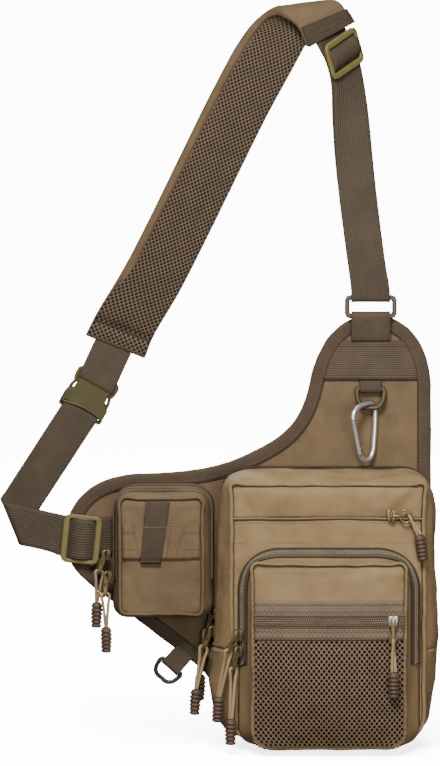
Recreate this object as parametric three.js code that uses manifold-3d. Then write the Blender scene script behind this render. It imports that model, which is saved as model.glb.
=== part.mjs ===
// Sling tackle bag: a padded back panel carries a zipped main pouch, a front pocket with a mesh pocket on it
// and a small side pouch, and hangs from a padded shoulder strap on webbing.
// Millimetres, +Z up, the front faces -Y and +X is the viewer's right.
// The origin is under the top of the shoulder strap, where the bag hangs.

import * as THREE from 'three';
import { mergeVertices } from 'three/addons/utils/BufferGeometryUtils.js';
import Module from 'manifold-3d';

const wasm = await Module();
wasm.setup();

// Cloth, webbing and the gap between neighbouring pieces
const GAP = 0.3;
const CANVAS = 1.5;
const MESH_CLOTH = 1.2;
const ZIP_TAPE = 1.2;
const WEBBING = 1.8;
const STRAP_WIDTH = 37;

// Back panel: flat front at y = 0, foam behind it, and a thin rim under the binding
const PANEL_THICK = 8;
const RIM_THICK = 3;
const RIM_WIDTH = 12;
const FOAM_SLOPE = 8;
const BINDING_WIDTH = 11;
const BINDING_WALL = 1.2;
const PANEL_STATIONS = 48;
const SEAT_Y = -(2 * GAP + BINDING_WALL); // a pouch lies just clear of the binding's front

// Pouches, each between a back and a front outline
const MAIN_BACK = { left: -72, right: 121, top: -434, bottom: -689, topRadius: 24, bottomRadius: 25 };
const MAIN_FRONT = { left: -65.6, right: 117.8, top: -441, bottom: -687, topRadius: 10, bottomRadius: 22 };
const MAIN_DEPTH = 55;
const HOOP_STEPS = 36;          // steps round a pouch's side
const MAIN_SEAM_Z = -603;      // cross seam where the lower gusset starts
const SLIT_Z = -474;           // slit pocket's seam across the front
const POCKET_BACK = { left: -59, right: 113.5, top: -502.5, bottom: -691, topRadius: 40, bottomRadius: 16 };
const POCKET_FRONT = { left: -45.5, right: 99.5, top: -512.6, bottom: -690, topRadius: 14, bottomRadius: 12 };
const POCKET_DEPTH = 31;
const POCKET_ZIP_END_Z = -614;
const POCKET_ZIP_LIFT = 1.7;   // the tape arches over the corners of the gusset
const MESH_BAND_TOP = -547.6;
const MESH_BAND_BOTTOM = -585;
const SMALL_BACK = { left: -177, right: -81.5, top: -449, bottom: -572, topRadius: 22, bottomRadius: 12 };
const SMALL_FRONT = { left: -171.5, right: -92, top: -457, bottom: -569, topRadius: 14, bottomRadius: 6 };
const SMALL_DEPTH = 39;
const SMALL_ZIP_END_Z = -540;
const SMALL_BAND_TOP = -482;
const SMALL_BAND_BOTTOM = -515.4;

// How far the main gusset swells out at mid depth, down its left and right sides
const MAIN_SWELL = [
  { z: -434, left: 3, right: 2 },
  { z: -470, left: 9, right: 9 },
  { z: -530, left: 8.5, right: 8.5 },
  { z: -585, left: 11, right: 11.5 },
  { z: -633, left: 20, right: 9 },
  { z: -655, left: 16, right: 5 },
  { z: -689, left: 2, right: 1 },
];

// Shoulder pad: the middle of its thickness along its left and right edges, from the lower end over the fold
const PAD_THICK = 10;
const PAD_ROWS = [
  { left: [-203.9, 9, -307.9], right: [-147.3, 9, -330.3], puff: 0.6 },
  { left: [-193.8, 9, -288], right: [-138.7, 9, -309], puff: 0.85 },
  { left: [-163.4, 9, -236.3], right: [-111.8, 9, -262.2], puff: 1 },
  { left: [-82.7, 9, -72.7], right: [-31.1, 10, -98.6], puff: 1 },
  { left: [-58.9, 9, -29], right: [-8, 12, -56], puff: 1 },
  { left: [-44, 7, -9], right: [9, 15, -25], puff: 1 },
  { left: [-33, 1, -0.5], right: [24, 17, -1], puff: 1 },
  { left: [-25, -6, 2.5], right: [33, 14.5, 7.5], puff: 1 },
  { left: [-17, -12, -0.5], right: [38, 9, 7.5], puff: 0.95 },
  { left: [-3, -16, -11], right: [42, 7.5, 3.5], puff: 0.75 },
  { left: [6.2, -17, -30.2], right: [50.4, 10, -8.4], puff: 0.55 },
];
const PAD_STATIONS = 24;
const PAD_BAND_START = 0.912;  // share of the pad's run where the end band begins
const PAD_MIDDLE = 0.12;
const PAD_LIP = -0.76;         // the canvas wraps the left edge up to here, the mesh fills the rest

// Upper webbing from the pad's end to the rectangular ring: middle between its two layers
const UPPER_STRAP = [
  { at: [29.6, -2.4, -21.6], across: [0.72, 0.58, 0.38], spread: 1.2 },
  { at: [38, 1.2, -38], across: [0.68, 0.64, 0.36], spread: 1.2 },
  { at: [44.4, 6.6, -62.5], across: [0.72, 0.64, 0.25], spread: 1.2 },
  { at: [47.5, 5, -97], across: [0.9, 0.43, 0.02], spread: 1.6 },
  { at: [51.8, -1, -152], across: [0.99, 0.1, -0.12], spread: 2 },
  { at: [62, -5.8, -232], across: [0.992, 0, -0.13], spread: 2.8 },
  { at: [66.4, -6.8, -259], across: [1, 0, -0.03], spread: 3.9 },
];
const RING_BAR = 4.6;
const RING_SIZE = { width: 49.5, height: 22.6 };
const RING_CENTRE = [67, -6.8, -279];
const TOP_BAND = { top: -312, bottom: -350 };

// Lower webbing: panel side, tri-glide, flat fold at the left, buckle
const LOWER_START = [-178.3, -4.1, -499];
const LOWER_GLIDE = [-208, -4.1, -502];
const LOWER_FOLD = [-268.5, -4.1, -488.5];
const LOWER_SPREAD = 1.2;
const FOLD_RADIUS = 4.7;
const DIAGONAL_ANGLE = 56.5;   // degrees above +X

// Tri-glide: a plate with a bar across its middle, the webbing weaves over it
const GLIDE = { along: 37, across: 47, thick: 4, slot: 8, bar: 9, window: 38.4, corner: 6 };
const WEAVE_BACK = 3.4;        // webbing behind or before the plate, from the plate's middle
const UPPER_GLIDE_ACROSS = [0.626, 0.69, 0.36];
const UPPER_GLIDE_ALONG = [-0.262, -0.248, 0.93];

// Side-release buckle
const BUCKLE_CENTRE = [-201.9, 8, -368.6];
const BUCKLE_ANGLE = 61;
const BUCKLE = { halfMouth: 22.6, halfWaist: 16.4, body: 10, bar: 3.6, lowBar: -16, highBar: 21.3 };

// Rings and the clip
const TOP_D = { bar: [67, -4.6, -358], wire: 3.2, inner: 22, drop: 18, tilt: 14, tab: 21 };
const LOW_D = { bar: [-122, -6, -624.6], wire: 3, inner: 21, drop: 15, angle: -42, tab: 20 };
const CLIP_WIRE = 4;
const CLIP_TURN = 45;          // degrees that the clip's plane is turned about the vertical

// Zip pulls: slider, lean of puller and cord from the vertical (degrees, + to the right), depth at the grip
const PULLER = { width: 5.6, thick: 1.8, eye: 2.15, reach: 17, lift: 2.6 };
const CORD = 3;
const CORD_APART = 1.65;      // middle of each strand from the grip's axis
const GRIP = { length: 25, sides: 8, sag: 2 };
const PULLS = [
  { slider: [-182.9, -14, -515.7], facing: -70, lean: -18, cordLean: -5, cord: 30, gripY: -14 },
  { slider: [-181.5, -24, -535], facing: -70, lean: -3, cordLean: 1, cord: 32, gripY: -25 },
  { slider: [-81.2, -5.1, -574], facing: -75, lean: -14, cordLean: -9, cord: 43, gripY: -6.5 },
  { slider: [-81.8, -12.4, -589.6], facing: -75, lean: -24, cordLean: -11, cord: 40, gripY: -22 },
  { slider: [-57.6, -70.2, -584], facing: -55, lean: -28, cordLean: -12, cord: 46, gripY: -66 },
  { slider: [-57.6, -70.2, -599.4], facing: -55, lean: -12, cordLean: -3, cord: 48, gripY: -76 },
  { slider: [86, -62.4, -470.5], facing: 0, lean: 88, cordLean: 28, cord: 20, gripY: -67 },
  { slider: [87.4, -97.8, -566.4], facing: 0, lean: 0, cordLean: 1, cord: 31, gripY: -103.5 },
];

// Colours and finishes
const finish = (color, roughness, metalness = 0) =>
  new THREE.MeshStandardMaterial({ color, roughness, metalness });
const CANVAS_TAN = finish(0x8f7a5b, 0.85);
const TAPE_BROWN = finish(0x55483c, 0.8);
const WEBBING_BROWN = finish(0x5e5145, 0.8);
const MESH_BROWN = finish(0x5a4836, 0.85);
const OLIVE_PLASTIC = finish(0x6c6340, 0.5);
const BRONZE_PLASTIC = finish(0x6a5b45, 0.5);
const ALUMINIUM = finish(0xd8d8d6, 0.2, 1);
const DARK_METAL = finish(0x4a4a40, 0.35, 1);
const BRASS = finish(0x9c8a5c, 0.35, 1);
const CORD_BEIGE = finish(0xb09c7a, 0.8);
const GRIP_RUBBER = finish(0x634a3a, 0.6);

const bag = new THREE.Group();

function add(name, geometry, material) {
  const mesh = new THREE.Mesh(geometry, material);
  mesh.name = name;
  bag.add(mesh);
  return mesh;
}

const vector = (list) => new THREE.Vector3(...list);
const lerp = THREE.MathUtils.lerp;
const radians = THREE.MathUtils.degToRad;
const rightOf = (angle) => new THREE.Vector3(Math.cos(radians(angle)), 0, Math.sin(radians(angle)));
const mixed = (a, b, share) => a.clone().lerp(b, share);
const moved = (point, direction, distance) => point.clone().addScaledVector(direction, distance);

// Value of a column of a table at a height, straight between rows.
function tableAt(rows, z, column) {
  const lower = rows.findIndex((row) => row.z <= z);
  if (lower === 0) return rows[0][column];
  if (lower < 0) return rows[rows.length - 1][column];
  const [a, b] = [rows[lower - 1], rows[lower]];
  return lerp(a[column], b[column], (a.z - z) / (a.z - b.z));
}

// Turns the faces outwards if the closed surface is inside out.
function faceOut(geometry) {
  const position = geometry.getAttribute('position');
  const index = geometry.getIndex().array;
  const corner = (i) => new THREE.Vector3().fromBufferAttribute(position, index[i]);
  let volume = 0;
  for (let i = 0; i < index.length; i += 3) {
    volume += corner(i).dot(corner(i + 1).cross(corner(i + 2)));
  }
  if (volume < 0) {
    for (let i = 0; i < index.length; i += 3) {
      [index[i + 1], index[i + 2]] = [index[i + 2], index[i + 1]];
    }
  }
  return geometry;
}

const throughPoints = (points) => new THREE.CatmullRomCurve3(points, false, 'centripetal');

// Closed solid through rings of points. A ring runs along one face and back along the other, so that its ends
// close in pairs; 'outline' rings close with a flat face instead, and 'loop' joins the last ring to the first.
function loft(rings, ends = 'pairs') {
  const count = rings[0].length;
  const faces = [];
  const segments = ends === 'loop' ? rings.length : rings.length - 1;
  for (let ring = 0; ring < segments; ring += 1) {
    const start = ring * count;
    const next = ((ring + 1) % rings.length) * count;
    for (let side = 0; side < count; side += 1) {
      const other = (side + 1) % count;
      faces.push(start + side, start + other, next + other, start + side, next + other, next + side);
    }
  }
  const last = (rings.length - 1) * count;
  if (ends === 'pairs') {
    for (let k = 0; k < count / 2 - 1; k += 1) {
      const [a, b, c, d] = [k, k + 1, count - 2 - k, count - 1 - k];
      faces.push(a, c, b, a, d, c, last + a, last + b, last + c, last + a, last + c, last + d);
    }
  }
  if (ends === 'outline') {
    const contour = rings[0].map((point) => new THREE.Vector2(point.x, point.z));
    const sense = Math.sign(THREE.ShapeUtils.area(contour));
    for (const face of THREE.ShapeUtils.triangulateShape(contour, [])) {
      const same = Math.sign(THREE.ShapeUtils.area(face.map((i) => contour[i]))) === sense;
      const [a, b, c] = same ? face : [face[0], face[2], face[1]];
      faces.push(a, c, b, last + a, last + b, last + c);
    }
  }
  const geometry = new THREE.BufferGeometry();
  const positions = rings.flat().flatMap((point) => point.toArray());
  geometry.setAttribute('position', new THREE.Float32BufferAttribute(positions, 3));
  geometry.setIndex(faces);
  return faceOut(geometry);
}

// Union of closed solids.
function joined(...geometries) {
  const solids = geometries.map((geometry) => {
    const bare = geometry.clone();
    bare.deleteAttribute('normal');
    bare.deleteAttribute('uv');
    const merged = mergeVertices(bare, 1e-3);
    const vertProperties = merged.getAttribute('position').array;
    const triVerts = Uint32Array.from(merged.getIndex().array);
    return new wasm.Manifold(new wasm.Mesh({ numProp: 3, vertProperties, triVerts }));
  });
  const { vertProperties, triVerts } = solids.reduce((a, b) => a.add(b)).getMesh();
  const geometry = new THREE.BufferGeometry();
  geometry.setAttribute('position', new THREE.BufferAttribute(vertProperties, 3));
  geometry.setIndex(new THREE.BufferAttribute(triVerts, 1));
  return geometry;
}

// Plate of an outline with bevelled edges, its thickness centred on the outline's plane.
function plate(shape, thick, bevel, curveSegments = 4) {
  const depth = thick - 2 * bevel;
  const { shape: rim, holes } = shape.extractPoints(curveSegments);
  if (THREE.ShapeUtils.isClockWise(rim)) rim.reverse();
  const outline = new THREE.Shape(rim);
  outline.holes = holes.map((hole) => new THREE.Path(hole));
  const geometry = new THREE.ExtrudeGeometry(outline, {
    depth,
    bevelEnabled: bevel > 0,
    bevelThickness: bevel,
    bevelSize: bevel,
    bevelOffset: -bevel,
    bevelSegments: 1,
  });
  return geometry.translate(0, 0, -depth / 2);
}

function tube(path, diameter, steps, sides = 8) {
  const round = Array.from({ length: sides }, (_, k) => {
    const turn = ((k + 0.5) / sides) * 2 * Math.PI;
    return new THREE.Vector2((Math.cos(turn) * diameter) / 2, (Math.sin(turn) * diameter) / 2);
  });
  return new THREE.ExtrudeGeometry(new THREE.Shape(round), { steps, extrudePath: path });
}

// Places flat work: its x runs along across, its y along up, and its z towards the viewer of that face.
function placing(centre, across, up) {
  const x = across.clone().normalize();
  const z = new THREE.Vector3().crossVectors(x, up).normalize();
  const y = new THREE.Vector3().crossVectors(z, x);
  return new THREE.Matrix4().makeBasis(x, y, z).setPosition(centre);
}

function roundedPath(target, { left, right, top, bottom, topRadius, bottomRadius }) {
  const quarter = Math.PI / 2;
  target.moveTo((left + right) / 2, bottom);
  target.lineTo(left + bottomRadius, bottom);
  target.absarc(left + bottomRadius, bottom + bottomRadius, bottomRadius, -quarter, -2 * quarter, true);
  target.absarc(left + topRadius, top - topRadius, topRadius, 2 * quarter, quarter, true);
  target.absarc(right - topRadius, top - topRadius, topRadius, quarter, 0, true);
  target.absarc(right - bottomRadius, bottom + bottomRadius, bottomRadius, 0, -quarter, true);
  target.lineTo((left + right) / 2, bottom);
  return target;
}

function rectangle(target, halfWidth, halfHeight, radius, x = 0, y = 0) {
  const size = { left: x - halfWidth, right: x + halfWidth, top: y + halfHeight, bottom: y - halfHeight };
  return roundedPath(target, { ...size, topRadius: radius, bottomRadius: radius });
}

// Outline of a pouch: its path, and its left and right edge at a height.
class Outline {
  constructor(size) {
    Object.assign(this, size);
    this.path = roundedPath(new THREE.Path(), size);
  }

  corner(z) {
    const intoTop = this.topRadius - (this.top - z);
    const intoBottom = this.bottomRadius - (z - this.bottom);
    const [radius, into] = intoTop > 0
      ? [this.topRadius, intoTop]
      : [this.bottomRadius, Math.max(intoBottom, 0)];
    return radius - Math.sqrt(Math.max(radius ** 2 - into ** 2, 0));
  }

  span(z) {
    return [this.left + this.corner(z), this.right - this.corner(z)];
  }

  // Share of the way round at which the left side rises to a height; the right side has it at 1 minus that.
  shareAt(z) {
    const steps = 800;
    return Array.from({ length: steps / 2 }, (_, k) => k / steps).find((u) => this.path.getPoint(u).y >= z);
  }
}

// Cloth side of a pouch, from its back outline to its front one.
class Gusset {
  constructor(back, front, yBack, depth, swell) {
    Object.assign(this, { back, front, yBack, depth, swell });
  }

  at(share, across, lift) {
    const u = THREE.MathUtils.euclideanModulo(share, 1);
    const flat = this.back.path.getPoint(u).lerp(this.front.path.getPoint(u), across);
    const run = this.back.path.getTangent(u).lerp(this.front.path.getTangent(u), across).normalize();
    const out = new THREE.Vector2(-run.y, run.x);
    flat.addScaledVector(out, lift + this.swell(flat) * Math.sin(Math.PI * across));
    return new THREE.Vector3(flat.x, this.yBack - this.depth * across, flat.y);
  }

  // Band of it between two shares of the way round and two depths, from an inner to an outer face.
  band({ from, to, steps, near = 0, far = 1, layers = 3, inner = -CANVAS, outer = 0, ends = 'pairs' }) {
    const rings = [];
    const count = ends === 'loop' ? steps : steps + 1;
    for (let k = 0; k < count; k += 1) {
      const share = lerp(from, to, k / steps);
      const depths = Array.from({ length: layers + 1 }, (_, n) => lerp(near, far, n / layers));
      const face = depths.map((depth) => this.at(share, depth, outer));
      const back = depths.reverse().map((depth) => this.at(share, depth, inner));
      rings.push([...face, ...back]);
    }
    return loft(rings, ends);
  }

  // The whole way round, in steps that the zip over it shares.
  hoop() {
    return this.band({ from: 0, to: 1, steps: HOOP_STEPS, layers: 2, ends: 'loop' });
  }

  // Zip tape over the top, from a height on the left to the same height on the right.
  zip(z, near, far, layers = 2, lift = 2 * GAP) {
    const first = Math.round(this.back.shareAt(z) * HOOP_STEPS);
    const run = { from: first / HOOP_STEPS, to: 1 - first / HOOP_STEPS, steps: HOOP_STEPS - 2 * first };
    return this.band({ ...run, near, far, layers, inner: lift, outer: lift + ZIP_TAPE });
  }
}

// Cloth panel across an outline between two heights; each bulge swells it forward in the middle of an outline.
function panel(outline, { y, bulges = [], thick = CANVAS, top, bottom, columns = 8, rows = 4, span }) {
  const { topRadius: r, bottomRadius: s } = outline;
  const levels = [outline.top - 0.13 * r, outline.top - 0.5 * r, outline.top - r];
  levels.push(outline.bottom + s, outline.bottom + 0.5 * s, outline.bottom + 0.13 * s);
  for (let k = 0; k <= rows; k += 1) levels.push(lerp(top, bottom, k / rows));
  const near = (a, b) => Math.abs(a - b) < 3;
  const ends = [top, bottom];
  const inside = levels.filter((z) => z < top && z > bottom && !ends.some((end) => near(z, end)));
  const apart = inside.sort((a, b) => b - a).filter((z, k, all) => !k || !near(z, all[k - 1]));
  const heights = [top, ...apart, bottom];
  const swell = (x, z) => bulges.reduce((sum, { crown, about }) => {
    const a = (2 * (x - about.left)) / (about.right - about.left) - 1;
    const b = (2 * (z - about.bottom)) / (about.top - about.bottom) - 1;
    return sum + crown * Math.max(1 - a * a, 0) * Math.max(1 - b * b, 0);
  }, 0);
  const rings = heights.map((z) => {
    const [left, right] = span ? span(z) : outline.span(z);
    const across = Array.from({ length: columns + 1 }, (_, k) => lerp(left, right, k / columns));
    const face = across.map((x) => new THREE.Vector3(x, y - thick - swell(x, z), z));
    const back = across.reverse().map((x) => new THREE.Vector3(x, y - swell(x, z), z));
    return [...face, ...back];
  });
  return loft(rings);
}

// Strip of webbing through stations with a left and a right edge and the direction its face looks in.
function strip(stations, thick = WEBBING) {
  return loft(stations.map(({ left, right, facing }) => {
    const offsets = [thick / 2, -thick / 2];
    const [face, back] = offsets.map((h) => [moved(left, facing, h), moved(right, facing, h)]);
    return [...face, ...back.reverse()];
  }));
}

// Stations of webbing that follows a flat route in the plane of along and out, with its width across.
function route(points, { centre, across, along, out }, width) {
  return points.map((point, k) => {
    const before = points[Math.max(k - 1, 0)];
    const after = points[Math.min(k + 1, points.length - 1)];
    const run = after.clone().sub(before).normalize();
    const middle = centre.clone().addScaledVector(along, point.x).addScaledVector(out, point.y);
    const facing = along.clone().multiplyScalar(-run.y).addScaledVector(out, run.x);
    return { left: moved(middle, across, -width / 2), right: moved(middle, across, width / 2), facing };
  });
}

const bend = (x, y, radius, from, to, steps = 6) => Array.from({ length: steps + 1 }, (_, k) => {
  const turn = radians(lerp(from, to, k / steps));
  return new THREE.Vector2(x + radius * Math.cos(turn), y + radius * Math.sin(turn));
});

const FRONT = new THREE.Vector3(0, -1, 0);
const UP = new THREE.Vector3(0, 0, 1);
const RIGHT = new THREE.Vector3(1, 0, 0);

// Back panel and its binding
const panelShape = new THREE.Shape();
panelShape.moveTo(70, -289);
panelShape.bezierCurveTo(100, -289, 122, -316, 123, -356);
panelShape.quadraticCurveTo(124, -500, 122, -655);
panelShape.bezierCurveTo(121, -680, 108, -692, 84, -692);
panelShape.quadraticCurveTo(18, -694, -42, -692);
panelShape.bezierCurveTo(-68, -690, -70, -646, -99, -622);
panelShape.quadraticCurveTo(-143, -588, -186, -556);
panelShape.bezierCurveTo(-213, -536, -222, -524, -222, -504);
panelShape.bezierCurveTo(-222, -470, -200, -443, -150, -441.5);
panelShape.bezierCurveTo(-100, -440, -72, -437, -30, -413);
panelShape.bezierCurveTo(-2, -397, 6, -375, 11, -352);
panelShape.bezierCurveTo(18, -318, 35, -289, 70, -289);

const rim = Array.from({ length: PANEL_STATIONS }, (_, k) => {
  const point = panelShape.getPoint(k / PANEL_STATIONS);
  const run = panelShape.getTangent(k / PANEL_STATIONS);
  return { point, inward: new THREE.Vector2(run.y, -run.x) };
});
const rimPoint = ({ point, inward }, inset, y) => {
  const flat = point.clone().addScaledVector(inward, inset);
  return new THREE.Vector3(flat.x, y, flat.y);
};
const panelRings = [
  { inset: 0, y: 0 },
  { inset: 0, y: RIM_THICK },
  { inset: RIM_WIDTH, y: RIM_THICK },
  { inset: RIM_WIDTH + FOAM_SLOPE, y: PANEL_THICK },
].map(({ inset, y }) => rim.map((station) => rimPoint(station, inset, y)));
add('back_panel', loft(panelRings, 'outline'), CANVAS_TAN);

const tapeFront = -GAP - BINDING_WALL;
const tapeBack = RIM_THICK + GAP + BINDING_WALL;
const tapeEdge = -GAP - BINDING_WALL;
const bindingSection = [
  { inset: BINDING_WIDTH, y: tapeFront },
  { inset: tapeEdge, y: tapeFront },
  { inset: tapeEdge, y: tapeBack },
  { inset: BINDING_WIDTH, y: tapeBack },
  { inset: BINDING_WIDTH, y: tapeBack - BINDING_WALL },
  { inset: -GAP, y: tapeBack - BINDING_WALL },
  { inset: -GAP, y: -GAP },
  { inset: BINDING_WIDTH, y: -GAP },
];
const bindingRings = rim.map((station) => bindingSection.map(({ inset, y }) => rimPoint(station, inset, y)));
add('panel_binding', loft(bindingRings, 'loop'), TAPE_BROWN);

// Left and right edge at a height inside the panel's rim
function rimSpan(z, inset) {
  const points = rim.map((station) => rimPoint(station, inset, 0));
  const crossings = points.flatMap((point, k) => {
    const next = points[(k + 1) % points.length];
    const beside = (point.z - z) * (next.z - z) > 0;
    return beside ? [] : [lerp(point.x, next.x, (z - point.z) / (next.z - point.z))];
  });
  return [Math.min(...crossings), Math.max(...crossings)];
}

// Crosswise webbing band at the top of the panel, between the two runs of the binding
const BAND_ROWS = 5;
const bandStations = Array.from({ length: BAND_ROWS + 1 }, (_, k) => {
  const z = lerp(TOP_BAND.top, TOP_BAND.bottom, k / BAND_ROWS);
  const [left, right] = rimSpan(z, BINDING_WIDTH + 4 * GAP);
  const y = -GAP - WEBBING / 2;
  return { left: new THREE.Vector3(left, y, z), right: new THREE.Vector3(right, y, z), facing: FRONT };
});
add('top_webbing_band', strip(bandStations), WEBBING_BROWN);

// Rectangular ring and the webbing loop that holds it
const ringCentre = vector(RING_CENTRE);
const ringShape = rectangle(new THREE.Shape(), RING_SIZE.width / 2, RING_SIZE.height / 2, 5);
const ringInside = [RING_SIZE.width / 2 - RING_BAR, RING_SIZE.height / 2 - RING_BAR];
ringShape.holes.push(rectangle(new THREE.Path(), ...ringInside, 2));
const rectRing = add('rect_ring', plate(ringShape, RING_BAR, 1.2, 1), BRONZE_PLASTIC);
rectRing.applyMatrix4(placing(ringCentre, RIGHT, UP));

const barAway = (RING_SIZE.height - RING_BAR) / 2;
const loopRadius = RING_BAR * 0.6 + GAP + WEBBING / 2;
const bandTopUp = TOP_BAND.top + 2 * GAP - (RING_CENTRE[2] - barAway);
const seatOut = GAP + WEBBING / 2 + RING_CENTRE[1];
const loopRoute = [
  new THREE.Vector2(bandTopUp, seatOut),
  new THREE.Vector2(bandTopUp + 3.5, seatOut + BINDING_WALL + 2 * GAP),
  ...bend(0, 0, loopRadius, -90, 90),
  new THREE.Vector2(bandTopUp + 3.5, seatOut + BINDING_WALL + 3 * GAP + WEBBING),
  new THREE.Vector2(bandTopUp, seatOut + WEBBING + GAP),
];
const loopFrame = { centre: moved(ringCentre, UP, -barAway), across: RIGHT, along: UP, out: FRONT };
add('ring_loop_webbing', strip(route(loopRoute, loopFrame, STRAP_WIDTH)), WEBBING_BROWN);

// D-ring of wire: a straight bar along x at the origin, and a bow that hangs below it
function dRing(inner, drop, wire) {
  const bow = (target, half, low, high) => {
    target.moveTo(-half, high);
    target.lineTo(half, high);
    target.bezierCurveTo(half, low * 0.75, half * 0.62, low, 0, low);
    target.bezierCurveTo(-half * 0.62, low, -half, low * 0.75, -half, high);
    return target;
  };
  const shape = bow(new THREE.Shape(), inner / 2 + wire, -drop - wire / 2, wire / 2);
  shape.holes.push(bow(new THREE.Path(), inner / 2, -drop + wire / 2, -wire / 2));
  return plate(shape, wire, wire * 0.28, 4);
}

// Webbing tab folded round a ring's bar, from its sewn end
function ringTab(wire, length, width, frame) {
  const radius = wire * 0.66 + GAP + WEBBING / 2;
  const points = [
    new THREE.Vector2(-length, -radius),
    ...bend(0, 0, radius, -90, 90),
    new THREE.Vector2(-length, Math.min(radius, -radius + WEBBING + GAP)),
  ];
  return strip(route(points, frame, width));
}

const DOWN = UP.clone().negate();
const topBar = vector(TOP_D.bar);
const topTilt = radians(TOP_D.tilt);
const topRingUp = new THREE.Vector3(0, Math.sin(topTilt), Math.cos(topTilt));
const topTabLength = TOP_BAND.bottom - 2 * GAP - TOP_D.bar[2];
add('d_ring_tab_top', ringTab(TOP_D.wire, topTabLength, TOP_D.tab,
  { centre: topBar, across: RIGHT, along: DOWN, out: FRONT }), WEBBING_BROWN);
const topRing = add('d_ring_top', dRing(TOP_D.inner, TOP_D.drop, TOP_D.wire), OLIVE_PLASTIC);
topRing.applyMatrix4(placing(topBar, RIGHT, topRingUp));

const lowBar = vector(LOW_D.bar);
const lowAcross = rightOf(LOW_D.angle);
const lowOut = rightOf(LOW_D.angle - 90);
add('d_ring_tab_lower', ringTab(LOW_D.wire, 19, LOW_D.tab,
  { centre: lowBar, across: lowAcross, along: lowOut, out: FRONT }), WEBBING_BROWN);
const lowRing = add('d_ring_lower', dRing(LOW_D.inner, LOW_D.drop, LOW_D.wire), DARK_METAL);
lowRing.applyMatrix4(placing(lowBar, lowAcross, lowOut.clone().negate()));

// Carabiner: wire path in its own plane, from the hinge round the foot, up the spine and over to the nose
const CLIP_LINE = [
  [-13.8, -45.2], [-10.9, -48.2], [-5.3, -50], [0, -47.6], [3.1, -42], [4.3, -34], [6.1, -10], [6.1, -2.5],
  [4.9, 2.9], [0.8, 4.5], [-6, 4.6], [-14, 3.4], [-21, -0.6], [-24, -6.5], [-24.1, -8.6],
];
const clipPoints = CLIP_LINE.map(([x, y]) => new THREE.Vector3(x, y, 0));
const clipPath = throughPoints(clipPoints);
const gateFoot = new THREE.Vector3(-15, -43.2, 0);
const gateNose = new THREE.Vector3(-24, -9.1, 0);
const ringLow = moved(topBar, topRingUp, -TOP_D.drop);
const clipAcross = new THREE.Vector3(Math.cos(radians(CLIP_TURN)), Math.sin(radians(CLIP_TURN)), 0);
const clipPlace = placing(ringLow, clipAcross, UP);
add('carabiner_body', tube(clipPath, CLIP_WIRE, 20), ALUMINIUM).applyMatrix4(clipPlace);
const gatePath = new THREE.LineCurve3(gateFoot, gateNose);
add('carabiner_gate', tube(gatePath, CLIP_WIRE - 0.6, 1), ALUMINIUM).applyMatrix4(clipPlace);

// Main pouch
const mainBack = new Outline(MAIN_BACK);
const mainFront = new Outline(MAIN_FRONT);
const mainSwell = ({ x, y }) => {
  const side = THREE.MathUtils.clamp((x - MAIN_BACK.left) / (MAIN_BACK.right - MAIN_BACK.left), 0, 1);
  return lerp(tableAt(MAIN_SWELL, y, 'left'), tableAt(MAIN_SWELL, y, 'right'), side);
};
const mainGusset = new Gusset(mainBack, mainFront, SEAT_Y, MAIN_DEPTH, mainSwell);
const mainSeam = mainBack.shareAt(MAIN_SEAM_Z);
const seamGap = GAP / 1000;
const upperArch = { from: mainSeam + seamGap, to: 1 - mainSeam - seamGap, steps: 30 };
add('main_gusset_upper', mainGusset.band(upperArch), CANVAS_TAN);
add('main_gusset_lower', mainGusset.band({ from: -mainSeam + seamGap, to: mainSeam - seamGap, steps: 20 }),
  CANVAS_TAN);
add('main_zip', mainGusset.band({
  ...upperArch, near: 0.03, far: 0.17, layers: 1, inner: 2 * GAP, outer: 2 * GAP + ZIP_TAPE,
}), TAPE_BROWN);
const mainFrontY = SEAT_Y - MAIN_DEPTH - GAP;
add('main_front_upper', panel(mainFront, {
  y: mainFrontY, top: MAIN_FRONT.top, bottom: SLIT_Z, rows: 2,
  bulges: [{ crown: 4, about: { ...MAIN_FRONT, bottom: SLIT_Z } }],
}), CANVAS_TAN);
add('main_front_lower', panel(mainFront, {
  y: mainFrontY, top: SLIT_Z - GAP, bottom: MAIN_FRONT.bottom, columns: 2, rows: 1,
}), CANVAS_TAN);

// Front pocket with the mesh pocket on its face
const pocketBack = new Outline(POCKET_BACK);
const pocketFront = new Outline(POCKET_FRONT);
const pocketSwell = ({ y }) => lerp(1, -3.2, THREE.MathUtils.smoothstep(y, POCKET_BACK.bottom, -640));
const pocketY = mainFrontY - CANVAS - GAP;
const pocketGusset = new Gusset(pocketBack, pocketFront, pocketY, POCKET_DEPTH, pocketSwell);
add('front_pocket_gusset', pocketGusset.hoop(), CANVAS_TAN);
add('front_pocket_zip', pocketGusset.zip(POCKET_ZIP_END_Z, 0.05, 0.45, 1, POCKET_ZIP_LIFT), TAPE_BROWN);
const faceY = pocketY - POCKET_DEPTH - GAP;
const faceBulge = { crown: 3, about: POCKET_FRONT };
add('front_pocket_face', panel(pocketFront, {
  y: faceY, bulges: [faceBulge], top: POCKET_FRONT.top, bottom: POCKET_FRONT.bottom, columns: 6, rows: 5,
}), CANVAS_TAN);
const meshY = faceY - CANVAS - 2 * GAP;
add('mesh_zip_band', panel(pocketFront, {
  y: meshY, bulges: [faceBulge], thick: WEBBING, top: MESH_BAND_TOP, bottom: MESH_BAND_BOTTOM,
  columns: 6, rows: 2,
}), WEBBING_BROWN);
const meshOutline = new Outline({ ...POCKET_FRONT, top: MESH_BAND_BOTTOM - GAP, topRadius: 1 });
add('mesh_panel', panel(meshOutline, {
  y: meshY, bulges: [faceBulge, { crown: 8, about: meshOutline }], thick: MESH_CLOTH,
  top: meshOutline.top, bottom: meshOutline.bottom, columns: 6, rows: 5,
}), MESH_BROWN);

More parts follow.
